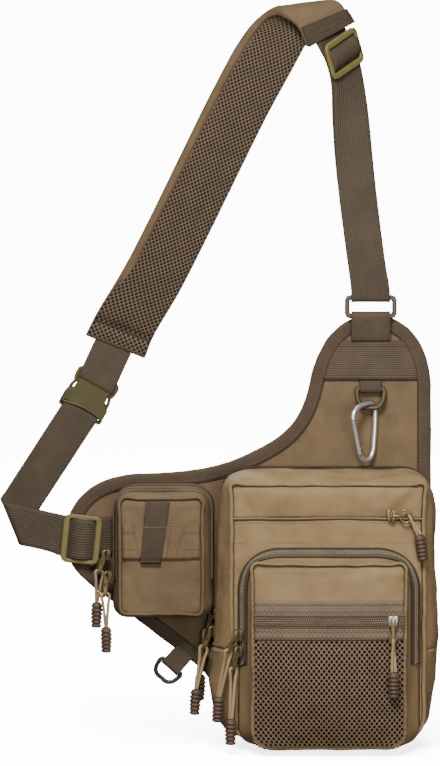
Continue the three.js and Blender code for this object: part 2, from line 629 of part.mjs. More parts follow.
// Small side pouch
const smallBack = new Outline(SMALL_BACK);
const smallFront = new Outline(SMALL_FRONT);
const smallSwell = ({ y }) => lerp(5, 3, THREE.MathUtils.smoothstep(y, SMALL_BACK.bottom, -550));
const smallGusset = new Gusset(smallBack, smallFront, SEAT_Y, SMALL_DEPTH, smallSwell);
add('small_gusset', smallGusset.hoop(), CANVAS_TAN);
add('small_zip', smallGusset.zip(SMALL_ZIP_END_Z, 0.3, 0.7), TAPE_BROWN);
const smallY = SEAT_Y - SMALL_DEPTH - GAP;
const smallBulge = { crown: 4, about: SMALL_FRONT };
add('small_front', panel(smallFront, {
  y: smallY, bulges: [smallBulge], top: SMALL_FRONT.top, bottom: SMALL_FRONT.bottom, columns: 6,
}), CANVAS_TAN);
const smallBandY = smallY - CANVAS - 2 * GAP;
add('small_band', panel(smallFront, {
  y: smallBandY, bulges: [smallBulge], top: SMALL_BAND_TOP, bottom: SMALL_BAND_BOTTOM, columns: 6, rows: 1,
}), CANVAS_TAN);
const tabTop = SMALL_FRONT.top - 2;
const tabBottom = SMALL_BAND_BOTTOM - 3.6;
const tabSpan = (z) => {
  const down = (tabTop - z) / (tabTop - tabBottom);
  return [lerp(-146, -151.5, down), lerp(-123.5, -132, down)];
};
add('small_tab', panel(smallFront, {
  y: smallBandY - CANVAS - 2 * GAP, bulges: [smallBulge], thick: WEBBING, top: tabTop, bottom: tabBottom,
  columns: 2, rows: 3, span: tabSpan,
}), WEBBING_BROWN);

// Shoulder pad: canvas shell with a lip round its left edge, mesh on the other face, ribbed band at its end
const padCurve = (side) => throughPoints(PAD_ROWS.map((row) => vector(row[side])));
const padLeft = padCurve('left');
const padRight = padCurve('right');
const padStation = (share) => {
  const left = padLeft.getPoint(share);
  const right = padRight.getPoint(share);
  const run = padLeft.getTangent(share).add(padRight.getTangent(share));
  const facing = new THREE.Vector3().crossVectors(run, right.clone().sub(left)).normalize();
  const row = Math.min(share * (PAD_ROWS.length - 1), PAD_ROWS.length - 1.001);
  const puff = lerp(PAD_ROWS[Math.floor(row)].puff, PAD_ROWS[Math.floor(row) + 1].puff, row % 1);
  return { left, right, facing, puff };
};
function padPiece(section, from, to, steps) {
  return loft(Array.from({ length: steps + 1 }, (_, k) => {
    const { left, right, facing, puff } = padStation(lerp(from, to, k / steps));
    return section.map(({ across, out }) => moved(mixed(left, right, (across + 1) / 2), facing, out * puff));
  }));
}
const half = PAD_THICK / 2;
const meshFloor = -half + 2.4;
const shellSection = [
  { across: -1, out: 3 }, { across: PAD_LIP - 0.1, out: half }, { across: PAD_LIP, out: half },
  { across: PAD_MIDDLE, out: half }, { across: 0.86, out: half }, { across: 1, out: 2.6 },
  { across: 1, out: -2.2 }, { across: 0.86, out: meshFloor }, { across: PAD_MIDDLE, out: meshFloor },
  { across: PAD_LIP, out: meshFloor },
  { across: PAD_LIP - 0.02, out: -half }, { across: -1, out: -3.6 },
];
add('pad_shell', padPiece(shellSection, 0, 1, PAD_STATIONS), CANVAS_TAN);
const meshFace = meshFloor - 2 * GAP;
const meshColumns = [PAD_LIP + 0.02, PAD_MIDDLE, 0.86];
const meshSection = [
  ...meshColumns.map((across) => ({ across, out: -half })),
  ...meshColumns.reverse().map((across) => ({ across, out: meshFace })),
];
add('pad_mesh', padPiece(meshSection, 0, 1 - 1 / PAD_STATIONS, PAD_STATIONS - 1), MESH_BROWN);
const bandSeat = half + 2 * GAP;
const endBandSection = [
  { across: -0.98, out: bandSeat + WEBBING }, { across: 0.98, out: bandSeat + WEBBING },
  { across: 0.98, out: bandSeat }, { across: -0.98, out: bandSeat },
];
add('pad_end_band', padPiece(endBandSection, PAD_BAND_START, 1, 3), WEBBING_BROWN);

// Weave of webbing through a tri-glide: behind the first bar, over the middle bar, behind the last bar
const glideWeave = [
  new THREE.Vector2(GLIDE.along / 2 - 3, -WEAVE_BACK),
  new THREE.Vector2(12, -WEAVE_BACK),
  new THREE.Vector2(5, WEAVE_BACK),
  new THREE.Vector2(-5, WEAVE_BACK),
  new THREE.Vector2(-12, -WEAVE_BACK),
  new THREE.Vector2(-GLIDE.along / 2 + 2, -WEAVE_BACK),
];
const layerBack = WEAVE_BACK + LOWER_SPREAD; // from the plate's middle to the middle of the layers behind it

function triGlide(name, centre, across, along) {
  const shape = rectangle(new THREE.Shape(), GLIDE.across / 2, GLIDE.along / 2, GLIDE.corner);
  for (const side of [-1, 1]) {
    const slotY = (side * (GLIDE.bar + GLIDE.slot)) / 2;
    shape.holes.push(rectangle(new THREE.Path(), GLIDE.window / 2, GLIDE.slot / 2, 1.5, 0, slotY));
  }
  add(name, plate(shape, GLIDE.thick, 1, 1), OLIVE_PLASTIC).applyMatrix4(placing(centre, across, along));
}

// Two layers of a strap either side of its middle rows
function layers(rows, side) {
  const centres = rows.map((row) => vector(row.at));
  return rows.map((row, k) => {
    const across = vector(row.across).normalize();
    const run = centres[Math.min(k + 1, rows.length - 1)].clone().sub(centres[Math.max(k - 1, 0)]);
    const facing = new THREE.Vector3().crossVectors(run, across).normalize();
    if (facing.y > 0) facing.negate();
    const middle = moved(centres[k], facing, side * row.spread);
    const [left, right] = [-1, 1].map((end) => moved(middle, across, (end * STRAP_WIDTH) / 2));
    return { left, right, facing: facing.clone() };
  });
}
const turned = (stations) =>
  stations.map((station) => ({ ...station, facing: station.facing.clone().negate() }));

// Upper webbing: from the pad down behind the tri-glide, round the ring, up in front and over the glide's bar
const upperAcross = vector(UPPER_GLIDE_ACROSS).normalize();
const upperAlong = vector(UPPER_GLIDE_ALONG).normalize();
const upperOut = new THREE.Vector3().crossVectors(upperAcross, upperAlong).normalize();
const upperGlide = moved(vector(UPPER_STRAP[1].at), upperOut, layerBack);
triGlide('tri_glide_upper', upperGlide, upperAcross, upperAlong);
const ringTop = moved(ringCentre, UP, barAway);
const ringFrame = { centre: ringTop, across: RIGHT, along: UP, out: FRONT };
const upperDown = layers(UPPER_STRAP, -1);
const upperUp = turned(layers(UPPER_STRAP.slice(2), 1).reverse());
const weaveUp = glideWeave.map((point) => new THREE.Vector2(-point.x, point.y));
const upperFrame = { centre: upperGlide, across: upperAcross, along: upperAlong, out: upperOut };
const upperWeave = turned(route(weaveUp, upperFrame, STRAP_WIDTH));
const ringTurn = turned(route(bend(0, 0, loopRadius, -90, -270), ringFrame, STRAP_WIDTH));
add('strap_webbing_upper', strip([...upperDown, ...ringTurn, ...upperUp, ...upperWeave]), WEBBING_BROWN);

// Side-release buckle, in the plane of the strap
const buckleUp = rightOf(BUCKLE_ANGLE);
const buckleAcross = rightOf(BUCKLE_ANGLE - 90);
const buckleCentre = vector(BUCKLE_CENTRE);
const bucklePlace = placing(buckleCentre, buckleAcross, buckleUp);
const inRail = STRAP_WIDTH / 2 + 0.6;
const outRail = inRail + 3.6;
const mirrored = (points) => [...points, ...points.slice().reverse().map(([x, y]) => [-x, y])];
const shapeOf = (points) => new THREE.Shape(points.map(([x, y]) => new THREE.Vector2(x, y)));
const pathOf = (points) => new THREE.Path(points.map(([x, y]) => new THREE.Vector2(x, y)));
const femaleBody = shapeOf(mirrored([
  [BUCKLE.halfWaist + 1.4, 14.6], [BUCKLE.halfWaist, 11], [BUCKLE.halfWaist, 4], [19.6, 1.6],
  [BUCKLE.halfMouth, -2], [BUCKLE.halfMouth, -13.6], [inRail, -13.6], [inRail - 0.6, -11], [6, -10.6],
]));
const lowBarHalf = BUCKLE.bar / 2;
const femaleFrame = shapeOf(mirrored([[outRail, -6], [outRail, BUCKLE.lowBar - lowBarHalf + 1.6],
  [outRail - 1.8, BUCKLE.lowBar - lowBarHalf]]));
femaleFrame.holes.push(pathOf(mirrored([[inRail, -9.6], [inRail, BUCKLE.lowBar + lowBarHalf]])));
const female = joined(plate(femaleBody, BUCKLE.body, 1.2), plate(femaleFrame, BUCKLE.bar, 0.6));
add('buckle_female', female, OLIVE_PLASTIC).applyMatrix4(bucklePlace);
const male = shapeOf(mirrored([
  [outRail - 1.8, BUCKLE.highBar + lowBarHalf], [outRail, BUCKLE.highBar], [outRail, 17.6], [21.4, 14],
  [21.2, 8], [20, 3.4], [18.6, 4.4], [18.6, 13.4], [18, 15],
]));
male.holes.push(pathOf(mirrored([[inRail, 16.3], [inRail, BUCKLE.highBar - lowBarHalf]])));
add('buckle_male', plate(male, BUCKLE.bar, 0.6), OLIVE_PLASTIC).applyMatrix4(bucklePlace);

// Short webbing from the pad's lower end, looped round the male bar
const barRadius = lowBarHalf * Math.SQRT2 + GAP + WEBBING / 2;
const malePoint = moved(buckleCentre, buckleUp, BUCKLE.highBar);
const padEnd = padStation(0);
const padFoot = mixed(padEnd.left, padEnd.right, 0.47);
const footAcross = padEnd.right.clone().sub(padEnd.left).normalize();
const maleFrame = { centre: malePoint, across: buckleAcross, along: buckleUp, out: FRONT };
const maleTurn = route(bend(0, 0, barRadius, 90, 270), maleFrame, STRAP_WIDTH);
const footLayer = (out) => {
  const clearOfPad = footAcross.clone().cross(FRONT).normalize();
  const middle = moved(padFoot, clearOfPad, 2 * GAP).addScaledVector(FRONT, out);
  const [left, right] = [-1, 1].map((end) => moved(middle, footAcross, (end * STRAP_WIDTH) / 2));
  return { left, right, facing: FRONT.clone().multiplyScalar(Math.sign(-out)) };
};
add('pad_lower_webbing', strip([footLayer(1.2), ...maleTurn, footLayer(-1.2)]), WEBBING_BROWN);

// Lower webbing: two layers from the panel to the buckle, folded flat where the strap turns upwards
const lowStart = vector(LOWER_START);
const lowGlide = vector(LOWER_GLIDE);
const lowFold = vector(LOWER_FOLD);
const lowRun = lowFold.clone().sub(lowGlide).normalize();
const lowRunAngle = THREE.MathUtils.radToDeg(Math.atan2(lowRun.z, lowRun.x));
const crease = rightOf((lowRunAngle + DIAGONAL_ANGLE) / 2);
const creaseOut = rightOf((lowRunAngle + DIAGONAL_ANGLE) / 2 + 90);
const alongCrease = lowRun.dot(crease);
const acrossCrease = lowRun.dot(creaseOut);
const foldAxis = moved(lowFold, FRONT, -FOLD_RADIUS);
const foldEnd = moved(foldAxis, crease, (alongCrease / acrossCrease) * FOLD_RADIUS * Math.PI);
const skewHalf = STRAP_WIDTH / 2 / Math.abs(acrossCrease);

function flatStation(middle, across, halfWidth, facing) {
  const [left, right] = [-1, 1].map((end) => moved(middle, across, end * halfWidth));
  return { left, right, facing };
}
// Sections of one layer round the fold, parallel to the crease; the right edge stays the lower one
function foldStations(radius) {
  return Array.from({ length: 7 }, (_, k) => {
    const turn = (k / 6) * Math.PI;
    const middle = moved(foldAxis, crease, (alongCrease / acrossCrease) * FOLD_RADIUS * turn);
    const facing = FRONT.clone().multiplyScalar(Math.cos(turn)).addScaledVector(creaseOut, Math.sin(turn));
    middle.addScaledVector(facing, radius);
    return flatStation(middle, crease.clone().negate(), skewHalf, facing);
  });
}
function lowerLayer(side) {
  const out = side * LOWER_SPREAD;
  const stations = [];
  if (side < 0) {
    stations.push(flatStation(moved(lowStart, FRONT, out), DOWN, STRAP_WIDTH / 2, FRONT));
    stations.push(flatStation(moved(lowGlide, FRONT, out), DOWN, STRAP_WIDTH / 2, FRONT));
  }
  const runDown = rightOf(lowRunAngle + 90);
  const beforeFold = mixed(lowGlide, lowFold, 0.45);
  stations.push(flatStation(moved(beforeFold, FRONT, out), runDown, STRAP_WIDTH / 2, FRONT));
  stations.push(...foldStations(FOLD_RADIUS + out));
  return stations;
}
const lowBarPoint = moved(buckleCentre, buckleUp, BUCKLE.lowBar);
const femaleFrameOf = { centre: lowBarPoint, across: buckleAcross, along: buckleUp, out: FRONT };
const barTurn = turned(route(bend(0, 0, barRadius, 90, -90), femaleFrameOf, STRAP_WIDTH));
const DIAGONAL_SHARE = 0.6;
const diagonalStation = (side) => {
  const middle = mixed(foldEnd, lowBarPoint, DIAGONAL_SHARE);
  const atFold = foldAxis.y + FOLD_RADIUS + side * LOWER_SPREAD;
  middle.setY(lerp(atFold, lowBarPoint.y + side * barRadius, DIAGONAL_SHARE));
  return flatStation(middle, rightOf(DIAGONAL_ANGLE - 90), STRAP_WIDTH / 2, FRONT.clone().negate());
};
const lowGlideOut = moved(lowGlide, FRONT, layerBack);
const lowGlideAcross = rightOf(84);
const lowGlideAlong = rightOf(174);
triGlide('tri_glide_lower', lowGlideOut, lowGlideAcross, lowGlideAlong);
const lowWeaveFrame = {
  centre: lowGlideOut, across: lowGlideAcross.clone().negate(), along: lowGlideAlong, out: FRONT,
};
const lowWeave = route(glideWeave, lowWeaveFrame, STRAP_WIDTH);
const inward = lowerLayer(-1);
const outward = turned(lowerLayer(1).reverse());
add('strap_webbing_lower', strip([...inward, diagonalStation(-1), ...barTurn, ...turned([diagonalStation(1)]),
  ...outward, ...lowWeave]), WEBBING_BROWN);

// Zip pulls
const sliderShape = new THREE.Shape([[-4.5, 5], [4.5, 5], [4.5, 1], [3.2, -5.5], [-3.2, -5.5], [-4.5, 1]]
  .map(([x, y]) => new THREE.Vector2(x, y)));
const pullerHalf = PULLER.reach / 2;
const pullerShape = rectangle(new THREE.Shape(), PULLER.width / 2, pullerHalf + 2.6, 2, 0, -pullerHalf);
const EYE_SIDES = 8;
pullerShape.holes.push(new THREE.Path(Array.from({ length: EYE_SIDES }, (_, k) => {
  const turn = (k / EYE_SIDES) * 2 * Math.PI;
  return new THREE.Vector2(PULLER.eye * Math.cos(turn), PULLER.eye * Math.sin(turn) - PULLER.reach);
})));
const gripProfile = [
  [0, -GRIP.length], [3.6, -GRIP.length], [5, -23], [5.2, -12], [4.4, -2], [3.2, 0], [0, 0],
];

// Half of a cord loop below the puller's eye: out from the puller's face, aside, and down
const CORD_ROUTE = [
  { out: 0, aside: 0, down: -0.4 },
  { out: 3.5, aside: 0, down: 0.6 },
  { out: 3.7, aside: 0, down: 4.4 },
  { out: 2.8, aside: 0.3, down: 8 },
  { out: 1.9, aside: 0.9, down: 14 },
];
PULLS.forEach(({ slider, facing, lean, cordLean, cord, gripY }, k) => {
  const turn = radians(facing);
  const look = new THREE.Vector3(Math.sin(turn), -Math.cos(turn), 0);
  const sliderAcross = new THREE.Vector3().crossVectors(UP, look);
  const hang = new THREE.Vector3(Math.sin(radians(lean)), 0, -Math.cos(radians(lean)));
  const swing = moved(look, hang, -look.dot(hang)).normalize(); // the way that the puller's face looks
  const pullerUp = hang.clone().negate();
  const pivot = moved(vector(slider), look, PULLER.lift);
  const body = plate(sliderShape, 4, 0).applyMatrix4(placing(vector(slider), sliderAcross, UP));
  const puller = plate(pullerShape, PULLER.thick, 0, 1);
  puller.applyMatrix4(placing(pivot, new THREE.Vector3().crossVectors(pullerUp, swing), pullerUp));
  add(`zip_slider_${k + 1}`, joined(body, puller), BRASS);

  const eye = moved(pivot, hang, PULLER.reach);
  const gripTop = new THREE.Vector3(Math.sin(radians(cordLean)), 0, -Math.cos(radians(cordLean)));
  gripTop.multiplyScalar(cord).add(eye).setY(gripY);
  const length = gripTop.distanceTo(eye);
  const down = gripTop.clone().sub(eye).normalize();
  const out = moved(swing, down, -swing.dot(down)).normalize();
  const aside = new THREE.Vector3().crossVectors(down, out);
  const gripUp = moved(down, DOWN, GRIP.sag).normalize().negate();
  const gripAcross = moved(aside, gripUp, -aside.dot(gripUp)).normalize();
  const end = moved(gripTop, gripUp, 3 * GAP);
  const strand = (side) => [...CORD_ROUTE.filter((step) => step.down < length - 3).map((step) => {
    const [fall, spread] = step.down < 2 ? [hang, swing] : [down, out];
    return moved(moved(moved(eye, fall, step.down), spread, side * step.out), aside, side * step.aside);
  }), moved(end, gripAcross, side * CORD_APART)];
  const loop = throughPoints([...strand(-1).reverse(), ...strand(1).slice(1)]);
  add(`pull_cord_${k + 1}`, tube(loop, CORD, 14), CORD_BEIGE);
  const grip = new THREE.LatheGeometry(gripProfile.map(([r, y]) => new THREE.Vector2(r, y)), GRIP.sides);
  add(`pull_grip_${k + 1}`, grip, GRIP_RUBBER).applyMatrix4(placing(gripTop, gripAcross, gripUp));
});

export default bag;
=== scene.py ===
import bpy
import bmesh
import math
from mathutils import Matrix, Vector, geometry, noise


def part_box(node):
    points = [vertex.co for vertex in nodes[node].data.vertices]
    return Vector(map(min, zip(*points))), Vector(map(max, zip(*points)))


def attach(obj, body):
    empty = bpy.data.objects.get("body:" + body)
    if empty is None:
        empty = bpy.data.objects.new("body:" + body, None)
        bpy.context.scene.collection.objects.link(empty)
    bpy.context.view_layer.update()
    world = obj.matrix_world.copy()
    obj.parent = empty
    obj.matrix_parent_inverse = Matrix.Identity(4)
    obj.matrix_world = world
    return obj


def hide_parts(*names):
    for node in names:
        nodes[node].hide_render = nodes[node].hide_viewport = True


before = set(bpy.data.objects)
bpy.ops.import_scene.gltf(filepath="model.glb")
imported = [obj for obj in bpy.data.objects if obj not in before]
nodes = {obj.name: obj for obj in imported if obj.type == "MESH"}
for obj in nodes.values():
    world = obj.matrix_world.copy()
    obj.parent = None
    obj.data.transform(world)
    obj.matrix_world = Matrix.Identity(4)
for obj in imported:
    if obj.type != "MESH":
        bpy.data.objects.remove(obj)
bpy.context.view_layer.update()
mm = 0.001
mergeGap = 0.02 * mm                                   # points nearer than this are one
front, up, right = Vector((0, -1, 0)), Vector((0, 0, 1)), Vector((1, 0, 0))
cloth = {"canvas": 1.5, "webbing": 1.8, "strapWidth": 37}


def addCamera():
    shot = {"target": (-76, 0, -353), "elevation": 8, "distance": 9600, "lens": 474.8}
    tilt = math.radians(shot["elevation"])
    data = bpy.data.cameras.new("photo_camera")
    data.lens = shot["lens"]
    camera = bpy.data.objects.new("photo_camera", data)
    away = Vector((0, -math.cos(tilt), math.sin(tilt))) * shot["distance"]
    camera.location = (Vector(shot["target"]) + away) * mm
    camera.rotation_euler = (math.pi / 2 - tilt, 0, 0)
    bpy.context.scene.collection.objects.link(camera)
    bpy.context.scene.camera = camera


addCamera()
print("camera set")


# Materials

def linear(hexColor):
    channels = [int(hexColor[i:i + 2], 16) / 255 for i in (1, 3, 5)]
    return [c / 12.92 if c <= 0.04045 else ((c + 0.055) / 1.055) ** 2.4 for c in channels] + [1]


def addNode(tree, kind, inputs, **settings):
    node = tree.nodes.new(kind)
    for key, value in settings.items():
        setattr(node, key, value)
    for key, value in inputs.items():
        if isinstance(value, bpy.types.NodeSocket):
            tree.links.new(value, node.inputs[key])
        else:
            node.inputs[key].default_value = value
    return node


def addMath(tree, operation, *values, clamp=False):
    inputs = dict(enumerate(values))
    return addNode(tree, "ShaderNodeMath", inputs, operation=operation, use_clamp=clamp).outputs[0]


# Soft blotches of a size in mm
def addNoise(tree, place, size, detail, rough=0.5):
    inputs = {"Vector": place.outputs["Object"], "Scale": 1 / (size * mm), "Detail": detail, "Roughness": rough}
    return addNode(tree, "ShaderNodeTexNoise", inputs).outputs["Fac"]


# Bands of a width in mm on the flat cloth; a Wave texture of scale 0.314 has one a metre
def addBands(tree, place, direction, width, distortion=0):
    inputs = {"Vector": place.outputs["UV"], "Scale": 0.314 / (width * mm), "Distortion": distortion}
    return addNode(tree, "ShaderNodeTexWave", inputs, bands_direction=direction).outputs["Fac"]


def newLook(name, rough, metallic=0.0):
    look = bpy.data.materials.new(name)
    look.use_nodes = True
    shader = look.node_tree.nodes["Principled BSDF"]
    shader.inputs["Roughness"].default_value = rough
    shader.inputs["Metallic"].default_value = metallic
    return look, look.node_tree, shader


# Two tones mixed by a factor, relief in mm from a height
def paint(tree, shader, light, dark, factor, height, strength, relief, shine):
    color = addNode(tree, "ShaderNodeMix", {0: factor, 6: linear(dark), 7: linear(light)}, data_type="RGBA")
    bump = addNode(tree, "ShaderNodeBump", {"Height": height, "Strength": strength, "Distance": relief * mm})
    tree.links.new(color.outputs[2], shader.inputs["Base Color"])
    tree.links.new(bump.outputs["Normal"], shader.inputs["Normal"])
    shader.inputs["Specular IOR Level"].default_value = shine


# Cloth of crossing threads: two tones in mm-sized blotches, thread relief from two crossed waves; the colour also
# follows that relief, thread tops lighter and the gaps darker, a painted shade
def wovenLook(name, light, dark, threads, relief, rough, blotch=35, spread=0.8, groove=0.35):
    look, tree, shader = newLook(name, rough)
    place = addNode(tree, "ShaderNodeTexCoord", {})
    waves = [addMath(tree, "SUBTRACT", addBands(tree, place, direction, 2 * thread), 0.5)    # two threads a band
             for direction, thread in zip("XY", threads)]
    weave = addMath(tree, "MULTIPLY", *waves)
    patch = addNoise(tree, place, blotch, 6, 0.65)
    tone = addMath(tree, "MULTIPLY_ADD", patch, spread, 0.5 - spread / 2)
    # painted shade: the weave's low places darken the colour
    lit = addMath(tree, "MULTIPLY_ADD", weave, groove * 4, tone, clamp=True)
    paint(tree, shader, light, dark, lit, weave, 0.7, relief, 0.2)
    return look


# Ribbed tape: ribs along one direction of the UV map, fine cross threads on them; the colour follows the rib
# height, grooves darker as painted shade
def ribbedLook(name, light, dark, rib, thread, relief, rough):
    look, tree, shader = newLook(name, rough)
    place = addNode(tree, "ShaderNodeTexCoord", {})
    across, along = addBands(tree, place, "X", rib, 0.6), addBands(tree, place, "Y", thread)
    height = addMath(tree, "MULTIPLY_ADD", along, 0.35, across)
    patch = addNoise(tree, place, 28, 7, 0.7)
    # painted shade: the grooves between ribs darken the colour
    tone = addMath(tree, "MULTIPLY_ADD", height, 0.24, patch)
    lit = addMath(tree, "SUBTRACT", tone, 0.15, clamp=True)
    paint(tree, shader, light, dark, lit, height, 0.8, relief, 0.25)
    return look


# Moulded, cast or drawn stuff: two tones in blotches, fine grain in the relief
def grainLook(name, light, dark, grain, relief, rough, metallic=0.0, blotch=12):
    look, tree, shader = newLook(name, rough, metallic)
    place = addNode(tree, "ShaderNodeTexCoord", {})
    patch, grit = addNoise(tree, place, blotch, 5), addNoise(tree, place, grain, 3)
    worn = addMath(tree, "MULTIPLY_ADD", patch, 0.16, rough - 0.08)
    tree.links.new(worn, shader.inputs["Roughness"])
    paint(tree, shader, light, dark, patch, grit, 0.5, relief, 0.3)
    return look


oxford = ((1.1, 1.1), 0.35, 0.82, 30, 1.2, 0.2)
net, thread = (1.1, 0.25, 0.7), (0.7, 0.1, 0.8)
# The CAD's slot and the material of each look
looks = {
    # oxford polyester: dull tan, plain weave drawn at 1.1 mm a thread, twice the real one, to show
    "canvas": ("canvas", wovenLook("oxford_polyester_tan", "#826C4B", "#58462F", *oxford)),
    # the same oxford over the panel's foam and the small pouch, painted darker: painted shade, as these parts get
    # less light
    "canvasPaintedShade": ("canvas", wovenLook("oxford_polyester_tan_painted_shade", "#65523A", "#403223", *oxford)),
    # and round the pad, painted darker still: painted shade
    "canvasPadPaintedShade": ("canvas", wovenLook("oxford_polyester_tan_pad_painted_shade", "#5A4933", "#382C1E", *oxford)),
    # painted shade: a dark line where two cloths meet, standing in for the shade in each seam's gap
    "seamShadeLine": ("binding_tape", grainLook("seam_painted_shade_dark_brown", "#34281B", "#20170E", 1.2, 0.1, 0.9)),
    # grosgrain tape: dark brown with crosswise ribs
    "binding": ("binding_tape", ribbedLook("grosgrain_tape_brown", "#463828", "#281E15", 1.7, 2.4, 0.3, 0.78)),
    # polyester zip tape: taupe, fine ridges beside the coil
    "zipTape": ("zip_tape", ribbedLook("zip_tape_taupe", "#554939", "#2F261C", 1.5, 1.9, 0.25, 0.75)),
    # polyester webbing: taupe, flat, with lengthwise ribs
    "webbing": ("webbing", ribbedLook("polyester_webbing_taupe", "#45392A", "#261E16", 2.3, 1.5, 0.5, 0.78)),
    # woven band of the mesh pocket: paler taupe webbing
    "bandWebbing": ("webbing", ribbedLook("polyester_webbing_pale", "#6A5A47", "#45382B", 1.9, 1.7, 0.3, 0.78)),
    # tab, loop and top band: a shade paler than the straps
    "tabWebbing": ("webbing", ribbedLook("polyester_webbing_mid", "#4E4132", "#30261C", 2.1, 1.5, 0.5, 0.78)),
    # warp-knit spacer net: dull strand between rounded holes, darker on the pad
    "net": ("mesh", grainLook("knit_net_tan", "#66523B", "#433323", *net)),
    "netDark": ("mesh", grainLook("knit_net_tan_dark", "#56442F", "#36291B", *net)),
    # lining seen through the net, almost black brown: partly the real backing, its near-black tone painted shade
    # of the depth behind the net
    "lining": ("mesh", grainLook("lining_painted_shade_near_black", "#0D0805", "#060302", 1.2, 0.1, 0.95)),
    # spun polyester thread: a little lighter than the cloth, or darker on webbing
    "thread": ("canvas", grainLook("sewing_thread_tan", "#8C7655", "#675338", *thread)),
    "threadTaupe": ("binding_tape", grainLook("sewing_thread_taupe", "#6A5B47", "#4A3D2F", *thread)),
    "threadDark": ("binding_tape", grainLook("sewing_thread_brown", "#3A2E22", "#20170F", *thread)),
    # nylon coil: smooth taupe teeth with a soft shine
    "coil": ("zip_tape", grainLook("nylon_coil_taupe", "#8F7E6A", "#5A4C3E", 0.6, 0.05, 0.42)),
    # acetal: moulded plastic with a satin face, olive or bronze
    "olive": ("olive_plastic", grainLook("acetal_olive", "#62582F", "#484021", 0.9, 0.06, 0.48)),
    "oliveDark": ("olive_plastic", grainLook("acetal_olive_dark", "#3D3514", "#2B250B", 0.9, 0.06, 0.5)),
    "bronze": ("bronze_plastic", grainLook("acetal_bronze", "#40351F", "#2B2315", 0.9, 0.06, 0.42)),
    # polished aluminium wire: bright and smooth
    "aluminium": ("aluminium", grainLook("polished_aluminium", "#E0E0DE", "#C0C0BE", 6, 0.0, 0.32, 0.95)),
    # black oxide steel wire: almost black, with a dull shine
    "darkMetal": ("dark_metal", grainLook("black_oxide_steel", "#33332A", "#1E1E18", 0.8, 0.05, 0.45, 0.6)),
    # antique brass zinc casting: dull yellow with brown in its hollows
    "brass": ("brass", grainLook("antique_brass_casting", "#7E6D4D", "#44381F", 1.0, 0.05, 0.36, 0.6, 6)),
    # nickel zinc casting: pale and shiny, on one slider
    "nickel": ("brass", grainLook("bright_nickel_casting", "#C4BEB2", "#7A7467", 1.0, 0.04, 0.28, 0.6, 5)),
    # braided polyester cord: pale sand
    "cord": ("cord", wovenLook("braided_cord_sand", "#8E7A59", "#65533A", (26, 90), 0.3, 0.8)),
    # moulded rubber: dull red brown
    "rubber": ("grip_rubber", grainLook("moulded_rubber_brown", "#4E3A2A", "#2C1F15", 0.8, 0.1, 0.6)),
}
print("materials made:", len(looks))


# Making pieces; shapes are worked out in mm

def lerp(a, b, share):
    return a + (b - a) * share


def smoothstep(value, low, high):
    share = min(max((value - low) / (high - low), 0), 1)
    return share * share * (3 - 2 * share)


def rightOf(angle):
    return Vector((math.cos(math.radians(angle)), 0, math.sin(math.radians(angle))))


def placing(centre, across, upward):
    x = across.normalized()
    z = x.cross(upward).normalized()
    turn = Matrix((x, z.cross(x), z)).transposed()
    return Matrix.Translation(centre * mm) @ turn.to_4x4()


def wrinkle(point, coarse, fine):
    return coarse * noise.noise(point / 46) + fine * noise.noise(point / 15 + Vector((7, 3, 1)))


def runLengths(points):
    lengths = [0]
    for a, b in zip(points, points[1:]):
        lengths.append(lengths[-1] + (b - a).length)
    return lengths


def dress(piece, look, node, body):
    slot, material = looks[look]
    piece.data.materials.append(material)
    bpy.context.scene.collection.objects.link(piece)
    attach(piece, body)
    if node:
        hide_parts(node)
    return piece


def meshPiece(name, bm, look, node=None, thick=0, rounds=0, flat=None):
    mesh = bpy.data.meshes.new(name)
    bm.to_mesh(mesh)
    bm.free()
    mesh.shade_smooth()
    piece = dress(bpy.data.objects.new(name, mesh), look, node, "bag")
    if flat is not None:                               # hard parts keep their flat faces flat
        mesh.set_sharp_from_angle(angle=math.radians(flat))
        piece.modifiers.new("flat_faces", "WEIGHTED_NORMAL").keep_sharp = True
    if thick:
        wall = piece.modifiers.new("cloth_thickness", "SOLIDIFY")
        wall.thickness = thick * mm
        wall.offset = -1
    if rounds:
        soft = piece.modifiers.new("soft_edges", "SUBSURF")
        soft.levels = soft.render_levels = rounds
    return piece


# Cloth laid over a surface(u, v) in mm; measure(u, v) gives the place on the flat cloth in mm
def clothGrid(columns, rows, surface, measure, outward=lambda point: front, closed=False):
    bm = bmesh.new()
    flat = bm.loops.layers.uv.new("UVMap")
    bmesh.ops.create_grid(bm, x_segments=columns, y_segments=rows, size=0.5, calc_uvs=True)
    for face in bm.faces:
        for loop in face.loops:
            loop[flat].uv = Vector(measure(loop.vert.co.x + 0.5, loop.vert.co.y + 0.5)) * mm
    for vert in bm.verts:
        vert.co = surface(vert.co.x + 0.5, vert.co.y + 0.5) * mm
    if closed:
        bmesh.ops.remove_doubles(bm, verts=bm.verts, dist=mergeGap)
    bm.normal_update()
    if sum(face.normal.dot(outward(face.calc_center_median() / mm)) for face in bm.faces) < 0:
        bmesh.ops.reverse_faces(bm, faces=bm.faces)
    return bm


# A measure for cloth of one size, with its ribs along u or along v
def flatMap(width, height, crosswise=False):
    return lambda u, v: (v * height, u * width) if crosswise else (u * width, v * height)


def copyOf(node):
    bm = bmesh.new()
    bm.from_mesh(nodes[node].data)
    bmesh.ops.remove_doubles(bm, verts=bm.verts, dist=mergeGap)
    return bm


def cutPlane(bm, spot, away, dist, clear=False):
    bmesh.ops.bisect_plane(bm, geom=bm.verts[:] + bm.edges[:] + bm.faces[:], dist=dist, plane_co=spot,
                           plane_no=away, clear_outer=clear)


def roundEdges(bm, edges, width):
    bmesh.ops.bevel(bm, geom=edges, offset=width * mm, offset_type="OFFSET", affect="EDGES", segments=3,
                    profile=0.5, material=-1, clamp_overlap=True)


